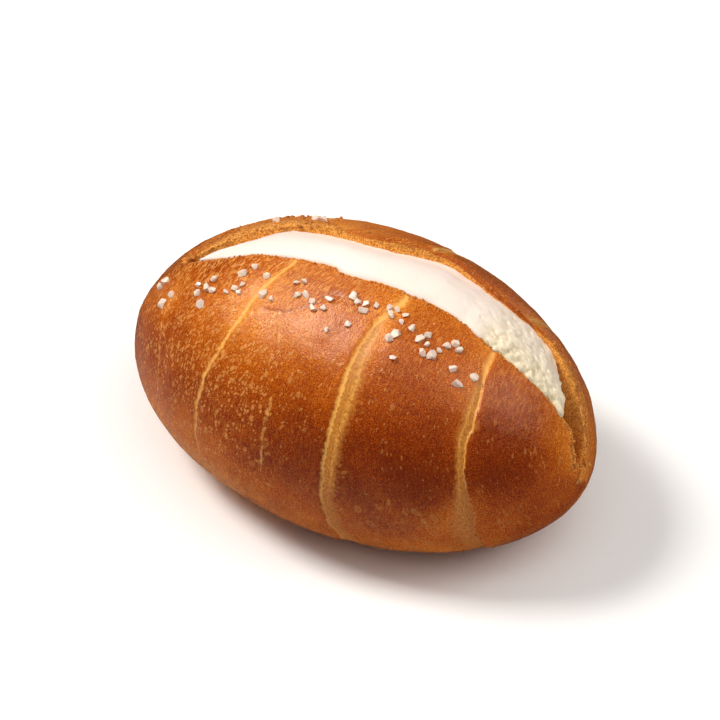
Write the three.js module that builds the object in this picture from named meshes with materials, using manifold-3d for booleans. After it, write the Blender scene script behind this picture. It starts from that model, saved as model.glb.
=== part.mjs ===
// A salt bread roll: a plump oval roll wound from a strip of dough, slit along the top, filled
// with whipped white cream and sprinkled with coarse salt.
// Millimetres and degrees, +Z up. X runs along the roll and Y across it. The roll rests on Z = 0,
// and the origin is under its middle.

import * as THREE from 'three';
import { mergeVertices } from 'three/addons/utils/BufferGeometryUtils.js';
import Module from 'manifold-3d';

const wasm = await Module();
wasm.setup();

// The baked roll. A fullness is a superellipse power: 2 is an ellipse, and more is boxier.
const ROLL_LENGTH = 125;
const ROLL_WIDTH = 80;
const WAIST_HEIGHT = 23.5; // the widest line, above the table
const CROWN_RISE = 40; // the crown, above the waist
const BELLY_DROP = 31; // the underside's curve, below the waist, before the tray flattens it
const END_FULLNESS = 1.98;
const CROWN_FULLNESS = 2.3;
const BELLY_FULLNESS = 1.95;
const TRAY_BLEND = 3; // height over which the belly bends into the flat base
const UNEVENNESS = 0.12; // height of the crust's slow swells
const LONG_SWELL = 0.12; // radians of swell for each millimetre along the roll
const SHORT_SWELL = 0.21;

// The winding. Each edge of the dough strip crosses the crown at one place along the roll and has
// moved on by its lean when it reaches the waist. It lies in a valley, bares a band of stretched
// dough, and steps up on one side: a positive step stands proud towards +X.
const TURN_EDGES = [
  { crown: -47.5, lean: 6.5, valley: 0.2, band: 1, groove: 0.15, step: 0.1 },
  { crown: -18.6, lean: -7.8, valley: 0.4, band: 1.2, groove: 0.35, step: 0.3 },
  { crown: 10.5, lean: 1.8, valley: 0.45, band: 2.3, groove: 0.5, step: -0.4 },
  { crown: 36.4, lean: 6.3, valley: 0.45, band: 1.6, groove: 0.5, step: 0.4 },
  { crown: 60.3, lean: 0, valley: 0.4, band: 1, groove: 0.3, step: -0.3 },
];
const VALLEY_REACH = 6;
const STEP_BLEND = 1;
const STEP_REACH = 7;
const TIP_FADE = 1.5; // how fast the winding's relief dies away towards the tips

// The slit along the top. A fullness says how long it stays wide before it narrows to its end.
const SLIT_LEFT = -49;
const SLIT_RIGHT = 62;
const SLIT_WIDEST = 12; // place along the roll
const SLIT_OPENING = 19.6;
const SLIT_LEFT_FULLNESS = 2.5;
const SLIT_RIGHT_FULLNESS = 3.5;
const SLIT_DEPTH = 30;
const SLIT_DEPTH_POWER = 0.8;
const SLIT_END_WIDTH = 0.4;
const SLIT_END_DEPTH = 1.5;
const SLIT_ROOT_WIDTH = 1;
const SLIT_ROOT_SHARE = 0.35; // place of the root between the near lip and the far one
const SLIT_CLEARANCE = 8; // height by which the cut passes out through the crust
const CUT_LINE = -0.7; // the knife's line, across the roll
const CUT_LINE_DRIFT = 0.045; // millimetres across for each one along the roll
const CUT_LINE_STRAIGHT_FROM = 12; // right of here the cut runs straight
// Stops along the roll, and how far the near lip tore towards +Y from the cut. It curls back at its +X end.
const NEAR_LIP_TEARS = [
  [-49, -0.6], [-36, -1.1], [-28, 0.6], [-20, 1.2], [-7, 1.1], [-5, -0.4], [1, -0.3], [5, 0.9],
  [12, 0.9], [18, 1.6], [26, 1.7], [36, 0.2], [57.5, 0], [62, -3],
];
// Where the far wall bulges into the slit.
const FAR_BULGES = [
  { at: -4, by: 4.4, reach: 12 },
  { at: 28, by: 3, reach: 11 },
];
// Stops along the roll, and how far the filling pushed the far lip up there.
const FAR_LIP_RISES = [[-49, 1], [-30, 0.6], [-18, 0.8], [0, 2.1], [18, 2.3], [26, 1.3], [36, 0.9], [62, 1.2]];
const FAR_LIP_REACH = 6;
const LIP_RAGGEDNESS = 0.25; // the torn edges waver by this
const LIP_WAVE = 1.1; // radians of waver for each millimetre along the roll
const LIP_RIPPLE = 2.7;
const NEAR_LIP_PHASE = 0.4;
const FAR_LIP_PHASE = 1.9;

// The cream, which stops short of both ends of the slit and leaves the far wall near the +X end.
const CREAM_LEFT = -43.45;
const CREAM_RIGHT = 54.6;
const CREAM_GAP = 0.3; // clear space to the walls of the slit
const CREAM_LEAVES_WALL = 45;
const CREAM_END_BLUNTNESS = 0.4; // power that rounds the free end
const CREAM_END_WIDTH = 1.2;
const CREAM_NEAR_RISE = 0.4; // above the near lip
const CREAM_FAR_DROP = 2.5; // below the far lip
const CREAM_SLOPE_FROM = 0.3; // share of the slit's width where the top begins to fall to the far wall
const CREAM_DOME = 1.1;
const CREAM_LUMPS = 0.6; // height
const CREAM_LUMPS_FROM = 5; // smooth to the left of here
const CREAM_LUMPS_FULL = 35; // fully lumpy to the right of here

// Coarse salt, in loose patches: the middle of each, along and round the roll, its grains and its spread.
const SALT_PATCHES = [
  { along: -51.7, round: 111.5, grains: 2, spread: 2.2 },
  { along: -47, round: 122, grains: 2, spread: 2.4 },
  { along: -37.2, round: 113, grains: 3, spread: 2.3 },
  { along: -33, round: 112, grains: 1, spread: 0.8 },
  { along: -34.4, round: 105.8, grains: 1, spread: 0.8 },
  { along: -34, round: 119.5, grains: 1, spread: 0.8 },
  { along: -26.6, round: 109.5, grains: 4, spread: 2.4 },
  { along: -27, round: 98.6, grains: 2, spread: 1.8 },
  { along: -21.8, round: 99, grains: 1, spread: 0.8 },
  { along: -16, round: 108, grains: 2, spread: 2.4 },
  { along: -12.4, round: 98, grains: 2, spread: 1.4 },
  { along: -10, round: 102.5, grains: 2, spread: 1.6 },
  { along: -5, round: 104.5, grains: 4, spread: 3 },
  { along: 1.6, round: 112.4, grains: 1, spread: 0.8 },
  { along: 5.4, round: 107.6, grains: 1, spread: 0.8 },
  { along: 2.4, round: 99, grains: 2, spread: 1.6 },
  { along: 6.6, round: 99.5, grains: 3, spread: 1.8 },
  { along: 10.8, round: 97.5, grains: 3, spread: 1.9 },
  { along: 14.6, round: 97, grains: 2, spread: 1.6 },
  { along: 15, round: 105, grains: 2, spread: 1.4 },
  { along: 17.8, round: 112.7, grains: 1, spread: 0.8 },
  { along: 17.8, round: 99.8, grains: 1, spread: 0.8 },
  { along: 21.6, round: 101.2, grains: 3, spread: 1.8 },
  { along: 24.8, round: 105.2, grains: 3, spread: 2.2 },
  { along: 28.2, round: 99, grains: 3, spread: 2.2 },
  { along: 30.2, round: 105.5, grains: 1, spread: 0.8 },
  { along: 32, round: 112, grains: 1, spread: 0.8 },
  { along: 35.3, round: 104, grains: 1, spread: 0.8 },
  { along: -32.8, round: 67, grains: 1, spread: 0.8 },
  { along: -21.8, round: 62.5, grains: 2, spread: 1.8 },
  { along: -8, round: 37, grains: 4, spread: 5 },
  { along: 11, round: 34, grains: 4, spread: 5 },
  { along: 28, round: 30, grains: 3, spread: 4 },
];
const GRAIN_SMALLEST = 0.95; // half the length of a grain
const GRAIN_LARGEST = 1.75;
const GRAIN_FLATTEST = 0.6; // a grain's other half sizes, as a share of its length
const GRAIN_ROUGHNESS = 0.22; // how far each corner is moved, as a share of its distance
const GRAIN_SINK = 0.32; // share of a grain's height that is baked into the crust
const GRAIN_CLEARANCE = 1.9; // least distance between the middles of two grains
const SALT_SEED = 20;

// Facets.
const FACETS_ALONG = 90;
const FACETS_ROUND = 40;
const SLIT_FACETS = 60;
const SLIT_WALL_FACETS = 4;
const CREAM_FACETS_ALONG = 53; // as long as the slit's, so that the walls match
const CREAM_FACETS_ACROSS = 7;
const CREAM_FACETS_DOWN = 3;

const { lerp, clamp, smoothstep, mapLinear, degToRad } = THREE.MathUtils;

// A repeatable stream of numbers from 0 to 1.
function seededRandom(seed) {
  let state = seed >>> 0;
  return () => {
    state = (state + 0x6d2b79f5) >>> 0;
    let mixed = Math.imul(state ^ (state >>> 15), state | 1);
    mixed ^= mixed + Math.imul(mixed ^ (mixed >>> 7), mixed | 61);
    return ((mixed ^ (mixed >>> 14)) >>> 0) / 4294967296;
  };
}

// Value at x on straight runs between stops.
function between(stops, x) {
  const found = stops.findIndex(([at]) => at > x);
  const next = found < 0 ? stops.length - 1 : Math.max(1, found);
  const [[start, low], [end, high]] = [stops[next - 1], stops[next]];
  return mapLinear(clamp(x, start, end), start, end, low, high);
}

// Size of the roll's section at x, as a share of the middle one.
function taper(x) {
  const share = Math.min(1, Math.abs(x) / (ROLL_LENGTH / 2));
  return (1 - share ** END_FULLNESS) ** (1 / END_FULLNESS);
}

// How far the slit is open at x, as a share of its widest place.
function openShare(x) {
  const leftOfWidest = x < SLIT_WIDEST;
  const run = leftOfWidest ? SLIT_WIDEST - SLIT_LEFT : SLIT_RIGHT - SLIT_WIDEST;
  const fullness = leftOfWidest ? SLIT_LEFT_FULLNESS : SLIT_RIGHT_FULLNESS;
  return 1 - clamp(Math.abs(x - SLIT_WIDEST) / run, 0, 1) ** fullness;
}

// Small waver of a torn edge.
function raggedness(x, phase) {
  const waver = Math.sin(LIP_WAVE * x + phase) + 0.6 * Math.sin(LIP_RIPPLE * x + 2 * phase);
  return LIP_RAGGEDNESS * openShare(x) * waver;
}

// The line that the slit was cut along, across the roll.
function cutLine(x) {
  return CUT_LINE + CUT_LINE_DRIFT * Math.min(x, CUT_LINE_STRAIGHT_FROM) + raggedness(x, NEAR_LIP_PHASE);
}

function nearLip(x) {
  return cutLine(x) + between(NEAR_LIP_TEARS, x);
}

function farLip(x) {
  const opening = SLIT_END_WIDTH + SLIT_OPENING * openShare(x);
  const bulges = FAR_BULGES.map(({ at, by, reach }) => by * Math.exp(-(((x - at) / reach) ** 2)));
  return cutLine(x) + opening - bulges[0] - bulges[1] + raggedness(x, FAR_LIP_PHASE);
}

// Height of the plain crown at a place in plan, without the winding's relief.
function crownHeight(x, y) {
  const size = taper(x);
  const share = clamp(Math.abs(y) / (size * ROLL_WIDTH / 2 + 1e-6), 0, 1);
  return WAIST_HEIGHT + CROWN_RISE * size * (1 - share ** CROWN_FULLNESS) ** (1 / CROWN_FULLNESS);
}

// Height by which the far lip stands above the plain crown.
function farLipRise(x, y) {
  const away = (y - farLip(x)) / FAR_LIP_REACH;
  return between(FAR_LIP_RISES, x) * openShare(x) * Math.exp(-(away ** 2));
}

// How far the winding has moved along the roll at the waist, for a place on the crown.
function leanAt(crown) {
  const tip = { crown: ROLL_LENGTH / 2, lean: 0 };
  const stops = [{ crown: -ROLL_LENGTH / 2, lean: 0 }, ...TURN_EDGES, tip];
  const next = Math.max(1, stops.findIndex((stop) => stop.crown >= crown));
  const [from, to] = [stops[next - 1], stops[next]];
  return mapLinear(crown, from.crown, to.crown, from.lean, to.lean);
}

// Outward swelling of the crust: turns of dough with valleys, bands and steps between them.
function windingRelief(crown, angle) {
  let relief = UNEVENNESS * Math.cos(LONG_SWELL * crown) * Math.cos(2 * angle);
  relief += UNEVENNESS * Math.sin(SHORT_SWELL * crown + angle);
  for (const { crown: edge, valley, band, groove, step } of TURN_EDGES) {
    const away = crown - edge;
    const ontoStep = away * Math.sign(step);
    const climb = 0.5 * (1 + Math.tanh(ontoStep / STEP_BLEND));
    relief += Math.abs(step) * climb * Math.exp(-Math.max(0, ontoStep) / STEP_REACH);
    relief -= valley * Math.exp(-((away / VALLEY_REACH) ** 2));
    relief -= groove * Math.exp(-((away / band) ** 2));
  }
  return relief;
}

// The belly lies flat where it met the tray.
function restOnTray(height) {
  if (height >= TRAY_BLEND) return height;
  if (height <= -TRAY_BLEND) return 0;
  return (height + TRAY_BLEND) ** 2 / (4 * TRAY_BLEND);
}

// A point on the crust: where its turn of dough crosses the crown, and the angle round from +Y and up.
function crustPoint(crown, angle) {
  const across = Math.cos(angle);
  const up = Math.sin(angle);
  const x = crown + leanAt(crown) * across ** 2;
  const size = taper(x);
  const power = 2 / (up >= 0 ? CROWN_FULLNESS : BELLY_FULLNESS);
  const plainY = size * (ROLL_WIDTH / 2) * Math.sign(across) * Math.abs(across) ** power;
  const plainZ = size * (up >= 0 ? CROWN_RISE : BELLY_DROP) * Math.sign(up) * Math.abs(up) ** power;
  const relief = windingRelief(crown, angle) * Math.min(1, TIP_FADE * size);
  const swell = 1 + relief / (Math.hypot(plainY, plainZ) + 1);
  const y = plainY * swell;
  const lift = up > 0 ? farLipRise(x, y) * up : 0;
  return new THREE.Vector3(x, y, restOnTray(WAIST_HEIGHT + plainZ * swell + lift));
}

// Outward direction of the crust at a place.
function crustNormal(crown, angle) {
  const step = 0.01;
  const alongIt = crustPoint(crown + 1, angle).sub(crustPoint(crown - 1, angle));
  const roundIt = crustPoint(crown, angle + step).sub(crustPoint(crown, angle - step));
  return alongIt.cross(roundIt).normalize();
}

// Moves every vertex of a geometry and leaves one shared vertex at each place.
function reshape(geometry, place) {
  geometry.deleteAttribute('normal');
  geometry.deleteAttribute('uv');
  const merged = mergeVertices(geometry);
  const position = merged.getAttribute('position');
  const vertex = new THREE.Vector3();
  for (let i = 0; i < position.count; i++) {
    position.setXYZ(i, ...place(vertex.fromBufferAttribute(position, i)));
  }
  return merged;
}

function solidOf(geometry) {
  return new wasm.Manifold(
    new wasm.Mesh({
      numProp: 3,
      vertProperties: geometry.getAttribute('position').array,
      triVerts: new Uint32Array(geometry.index.array),
    }),
  );
}

function geometryOf(solid) {
  const { vertProperties, triVerts } = solid.getMesh();
  const geometry = new THREE.BufferGeometry();
  geometry.setAttribute('position', new THREE.BufferAttribute(vertProperties, 3));
  geometry.setIndex(new THREE.BufferAttribute(triVerts, 1));
  geometry.computeVertexNormals();
  return geometry;
}

// The whole roll, before it is slit: a sphere whose poles become the tips.
function rollGeometry() {
  const sphere = new THREE.SphereGeometry(1, FACETS_ROUND, FACETS_ALONG);
  return reshape(sphere, ({ x, y, z }) => crustPoint((y * ROLL_LENGTH) / 2, Math.atan2(x, z)));
}

// The walls of the slit at x, in a section across the roll: two lips and the root that they lean on.
function slitSection(x) {
  const near = nearLip(x);
  const far = farLip(x);
  const rootY = lerp(near, far, SLIT_ROOT_SHARE);
  const depth = SLIT_END_DEPTH + SLIT_DEPTH * openShare(x) ** SLIT_DEPTH_POWER;
  const nearZ = crownHeight(x, near);
  const farZ = crownHeight(x, far) + farLipRise(x, far);
  const rootWidth = Math.min(SLIT_ROOT_WIDTH, (far - near) / 2);
  return { near, far, nearZ, farZ, rootY, rootZ: nearZ - depth, rootWidth };
}

// A place in the slit: share goes from the near wall to the far one, and height from the root to the lips.
function slitPlace(section, share, height) {
  const { near, far, nearZ, farZ, rootY, rootZ, rootWidth } = section;
  const lowY = rootY + rootWidth * (share - 0.5);
  const highY = lerp(near, far, share);
  const highZ = lerp(nearZ, farZ, share);
  return { y: lerp(lowY, highY, height), z: lerp(rootZ, highZ, height) };
}

// The knife's cut, which passes out through the crust.
function slitGeometry() {
  const box = new THREE.BoxGeometry(1, 1, 1, SLIT_FACETS, 1, SLIT_WALL_FACETS);
  return reshape(box, (corner) => {
    const x = lerp(SLIT_LEFT, SLIT_RIGHT, corner.x + 0.5);
    const section = slitSection(x);
    const past = 1 + SLIT_CLEARANCE / (section.nearZ - section.rootZ);
    const { y, z } = slitPlace(section, corner.y + 0.5, (corner.z + 0.5) * past);
    return [x, y, z];
  });
}

// Unevenness of the cream's surface, smooth at the left and lumpy at the right.
function creamLumps(x, y) {
  const lumps = Math.sin(0.9 * x + 0.5 * y) + Math.sin(0.55 * x - 0.8 * y + 1);
  return CREAM_LUMPS * lumps * smoothstep(x, CREAM_LUMPS_FROM, CREAM_LUMPS_FULL);
}

// Share of the slit's width that the cream takes at x.
function creamReach(x) {
  const section = slitSection(x);
  const left = clamp((CREAM_RIGHT - x) / (CREAM_RIGHT - CREAM_LEAVES_WALL), 0, 1);
  return Math.max(left ** CREAM_END_BLUNTNESS, CREAM_END_WIDTH / (section.far - section.near));
}

// The cream wedge, from the root of the slit to a domed top between the lips.
function creamGeometry() {
  const box = new THREE.BoxGeometry(1, 1, 1, CREAM_FACETS_ALONG, CREAM_FACETS_ACROSS, CREAM_FACETS_DOWN);
  return reshape(box, (corner) => {
    const x = lerp(CREAM_LEFT, CREAM_RIGHT, corner.x + 0.5);
    const section = slitSection(x);
    const share = corner.y + 0.5;
    const reach = creamReach(x);
    const depth = section.nearZ - section.rootZ;
    const fall = smoothstep(share * reach, CREAM_SLOPE_FROM, 1);
    const rise = lerp(CREAM_NEAR_RISE, -CREAM_FAR_DROP, fall);
    const dome = CREAM_DOME * openShare(x) * 4 * share * (1 - share);
    const top = 1 + (rise + dome + creamLumps(x, share * SLIT_OPENING)) / depth;
    const bottom = (2 * CREAM_GAP) / depth;
    const { y, z } = slitPlace(section, share * reach, lerp(bottom, top, corner.z + 0.5));
    const inset = lerp(CREAM_GAP, -CREAM_GAP, share);
    return [x, y + inset, z];
  });
}

// One grain of salt: an angular lump with uneven corners.
function saltGrainGeometry(random) {
  const half = lerp(GRAIN_SMALLEST, GRAIN_LARGEST, random() ** 1.5);
  const sizes = [half, half * lerp(GRAIN_FLATTEST, 1, random()), half * lerp(GRAIN_FLATTEST, 1, random())];
  const uneven = () => 1 + GRAIN_ROUGHNESS * (2 * random() - 1);
  const grain = reshape(new THREE.IcosahedronGeometry(1, 0), (corner) =>
    sizes.map((size, i) => corner.getComponent(i) * size * uneven()),
  );
  return { grain, height: sizes[2] };
}

// Where the grains of every patch lie, each clear of the others.
function saltPlaces(random) {
  const places = [];
  for (const { along, round, grains, spread } of SALT_PATCHES) {
    const middle = crustPoint(along, degToRad(round));
    const radius = Math.hypot(middle.y, middle.z - WAIST_HEIGHT);
    let laid = 0;
    while (laid < grains) {
      const turn = 2 * Math.PI * random();
      const out = spread * Math.sqrt(random());
      const crown = along + out * Math.cos(turn);
      const angle = degToRad(round) + (out * Math.sin(turn)) / radius;
      const point = crustPoint(crown, angle);
      if (places.every((other) => other.point.distanceTo(point) > GRAIN_CLEARANCE)) {
        places.push({ point, normal: crustNormal(crown, angle) });
        laid += 1;
      }
    }
  }
  return places;
}

// Every grain, turned about the crust's normal and partly baked in.
function saltSolids() {
  const random = seededRandom(SALT_SEED);
  const up = new THREE.Vector3(0, 0, 1);
  return saltPlaces(random).map(({ point, normal }) => {
    const { grain, height } = saltGrainGeometry(random);
    const turn = new THREE.Quaternion().setFromAxisAngle(up, 2 * Math.PI * random());
    const stand = new THREE.Quaternion().setFromUnitVectors(up, normal).multiply(turn);
    const centre = point.addScaledVector(normal, height * (1 - 2 * GRAIN_SINK));
    const one = new THREE.Vector3(1, 1, 1);
    return solidOf(grain.applyMatrix4(new THREE.Matrix4().compose(centre, stand, one)));
  });
}

function bread() {
  const slitRoll = solidOf(rollGeometry()).subtract(solidOf(slitGeometry()));
  const salted = saltSolids().reduce((roll, grain) => roll.add(grain), slitRoll);
  const crust = new THREE.MeshStandardMaterial({ color: '#9c4c10', roughness: 0.42, metalness: 0 });
  const mesh = new THREE.Mesh(geometryOf(salted), crust);
  mesh.name = 'bread';
  return mesh;
}

function cream() {
  const whipped = new THREE.MeshStandardMaterial({ color: '#fbf3e4', roughness: 0.6, metalness: 0 });
  const mesh = new THREE.Mesh(creamGeometry(), whipped);
  mesh.name = 'cream';
  return mesh;
}

const saltBread = new THREE.Group();
saltBread.add(bread(), cream());

export default saltBread;
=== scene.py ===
"""Looks of a salt bread roll: browned crust wound in turns, torn slit, whipped cream and coarse salt.

Shapes are worked out in millimetres and become meshes in metres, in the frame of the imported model: X runs
along the roll, -Y is its broad near side, and the roll rests on Z = 0.
"""

import logging
import math
from collections.abc import Callable
from dataclasses import dataclass, field
from enum import Enum
from typing import Any

import bmesh
import bpy
import numpy as np
from mathutils import Matrix, Vector


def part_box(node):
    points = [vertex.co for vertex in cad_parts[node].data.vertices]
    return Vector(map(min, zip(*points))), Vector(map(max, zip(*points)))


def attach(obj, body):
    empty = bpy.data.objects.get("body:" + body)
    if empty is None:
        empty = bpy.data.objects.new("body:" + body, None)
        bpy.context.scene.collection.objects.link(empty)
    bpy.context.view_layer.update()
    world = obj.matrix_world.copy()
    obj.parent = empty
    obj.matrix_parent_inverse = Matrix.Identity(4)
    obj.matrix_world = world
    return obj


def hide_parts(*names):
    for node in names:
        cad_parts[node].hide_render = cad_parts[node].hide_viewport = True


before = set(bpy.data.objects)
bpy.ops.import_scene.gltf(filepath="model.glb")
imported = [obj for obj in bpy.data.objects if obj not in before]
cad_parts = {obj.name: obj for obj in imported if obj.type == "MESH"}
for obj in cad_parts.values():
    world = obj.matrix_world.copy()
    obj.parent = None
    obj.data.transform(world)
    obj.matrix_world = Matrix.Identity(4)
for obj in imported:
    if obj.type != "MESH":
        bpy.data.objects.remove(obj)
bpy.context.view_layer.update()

LOG = logging.getLogger("salt_bread")
MM = 0.001
BODY = "root"
Array = np.ndarray
Material = bpy.types.Material
Mesh = bpy.types.Mesh
Node = bpy.types.Node
NodeTree = bpy.types.NodeTree
Object = bpy.types.Object
Socket = bpy.types.NodeSocket
Sockets = dict[int | str, Any]
INPUT_KINDS = {float: "NodeSocketFloat", int: "NodeSocketInt", Material: "NodeSocketMaterial"}
WELD_MM = 0.01
SLIVER_MM = 0.002


def linear(hex_colour: str) -> tuple[float, float, float, float]:
    """Turns an sRGB hex colour into linear RGBA.

    Args:
        hex_colour: the colour as #rrggbb.

    Returns:
        Linear red, green and blue, with an alpha of 1.
    """
    parts = [int(hex_colour[i : i + 2], 16) / 255 for i in (1, 3, 5)]
    red, green, blue = (p / 12.92 if p <= 0.04045 else ((p + 0.055) / 1.055) ** 2.4 for p in parts)
    return red, green, blue, 1.0


def add(tree: NodeTree, kind: str, inputs: Sockets | None = None, **settings: Any) -> Node:
    """Adds a node to a tree, sets it and links it.

    Args:
        tree: a shader tree or a Geometry Nodes tree.
        kind: the node's type name.
        inputs: for each input, by number or name, a socket to link from or a value to set.
        settings: properties of the node itself.

    Returns:
        The new node.
    """
    node = tree.nodes.new(kind)
    for name, value in settings.items():
        setattr(node, name, value)
    for key, value in (inputs or {}).items():
        if isinstance(value, Socket):
            tree.links.new(value, node.inputs[key])
        else:
            node.inputs[key].default_value = value
    return node


def new_material(name: str) -> tuple[Material, NodeTree, Node]:
    """Starts a material.

    Args:
        name: what the real material is.

    Returns:
        The material, its tree and its shader.
    """
    material = bpy.data.materials.new(name)
    material.use_nodes = True
    return material, material.node_tree, material.node_tree.nodes["Principled BSDF"]


def smoothstep(low: float, high: float, value: Array) -> Array:
    """Rises smoothly from 0 at low to 1 at high."""
    share = np.clip((value - low) / (high - low), 0, 1)
    return share * share * (3 - 2 * share)


def bell(away: Array, reach: float) -> Array:
    """A bump of height 1 that dies away over its reach."""
    return np.exp(-((away / reach) ** 2))


def waver(places: Array, spacing: float, seed: int) -> Array:
    """A repeatable uneven line through random knots, about -1 to 1.

    Args:
        places: where to read it.
        spacing: distance between knots.
        seed: which line.

    Returns:
        The line's height at each place.
    """
    low, high = float(np.min(places)), float(np.max(places))
    knots = np.arange(math.floor(low / spacing) - 1, math.ceil(high / spacing) + 2)
    heights = np.array([np.random.default_rng([seed, int(k) + 10_000]).uniform(-1, 1) for k in knots])
    return np.interp(places, knots * spacing, heights)


class Seeded:
    """The stream of numbers from 0 to 1 that the solid's salt was laid with."""

    def __init__(self, seed: int) -> None:
        """Starts the stream at its seed."""
        self.state = seed

    def draw(self) -> float:
        """Gives the next number.

        Returns:
            A number from 0 to 1.
        """
        full = 0xFFFFFFFF
        self.state = (self.state + 0x6D2B79F5) & full
        mixed = ((self.state ^ (self.state >> 15)) * (self.state | 1)) & full
        mixed ^= (mixed + ((mixed ^ (mixed >> 7)) * (mixed | 61) & full)) & full
        return (mixed ^ (mixed >> 14)) / 4294967296


class Proud(Enum):
    """The side of a turn's edge that stands higher."""

    LEFT = -1
    RIGHT = 1


NEAR_SIDE = (90, 102, 114, 126, 138, 150, 162, 174, 186, 200)
OVER_THE_TOP = (80, 90)
UNDERSIDE_END = 300
FAR_SIDE_START = 330


@dataclass(frozen=True)
class TurnEdge:
    """An edge of the wound dough strip, with the band of stretched dough that it bares beside it.

    crown is its place on the crown. Down the near side, path holds its places along the roll at the angles of
    NEAR_SIDE, and widths the band's widths there. On the far side it has moved on by lean at the waist. A
    dull band is grainy beside its bright edge, and a soft foot spreads over that edge low down.
    """

    crown: float
    path: tuple[float, ...]
    widths: tuple[float, ...]
    lean: float
    proud: Proud
    valley: float
    groove: float
    step: float
    pale: float = 1.0
    dull: float = 0.0
    soft_foot: float = 0.0
    waver: float = 0.3
    start: float = 0.0
    end: float = 360.0
    fade: float = 12.0

    def along(self, angle: Array) -> Array:
        """Finds the edge along the roll.

        Args:
            angle: degrees round the roll from +Y over the crown.

        Returns:
            Its places along the roll.
        """
        turn = angle % 360
        far = self.crown + self.lean * np.cos(np.radians(turn)) ** 2
        under = np.interp(turn, (NEAR_SIDE[-1], UNDERSIDE_END), (self.path[-1], self.crown + self.lean))
        near = np.interp(turn, NEAR_SIDE, self.path)
        blend = np.interp(turn, OVER_THE_TOP, (0, 1))
        above = far + (near - far) * blend
        return np.where(turn > FAR_SIDE_START, far, np.where(turn > NEAR_SIDE[-1], under, above))

    def width(self, angle: Array) -> Array:
        """Finds how wide the band is.

        Args:
            angle: degrees round the roll from +Y over the crown.

        Returns:
            The band's widths.
        """
        turn = angle % 360
        from_crown = np.abs(turn - 90)
        mirrored = 90 + np.minimum(from_crown, 360 - from_crown)
        return np.interp(mirrored, NEAR_SIDE, self.widths)

    def shown(self, angle: Array) -> Array:
        """Finds where the edge shows round the roll.

        Args:
            angle: degrees round the roll from +Y over the crown.

        Returns:
            1 where it shows, 0 where it has run out.
        """
        turn = angle % 360
        if self.end - self.start >= 360:
            return np.ones_like(turn)
        begun = smoothstep(self.start, self.start + self.fade, turn)
        return begun * smoothstep(self.end, self.end - self.fade, turn)


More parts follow.
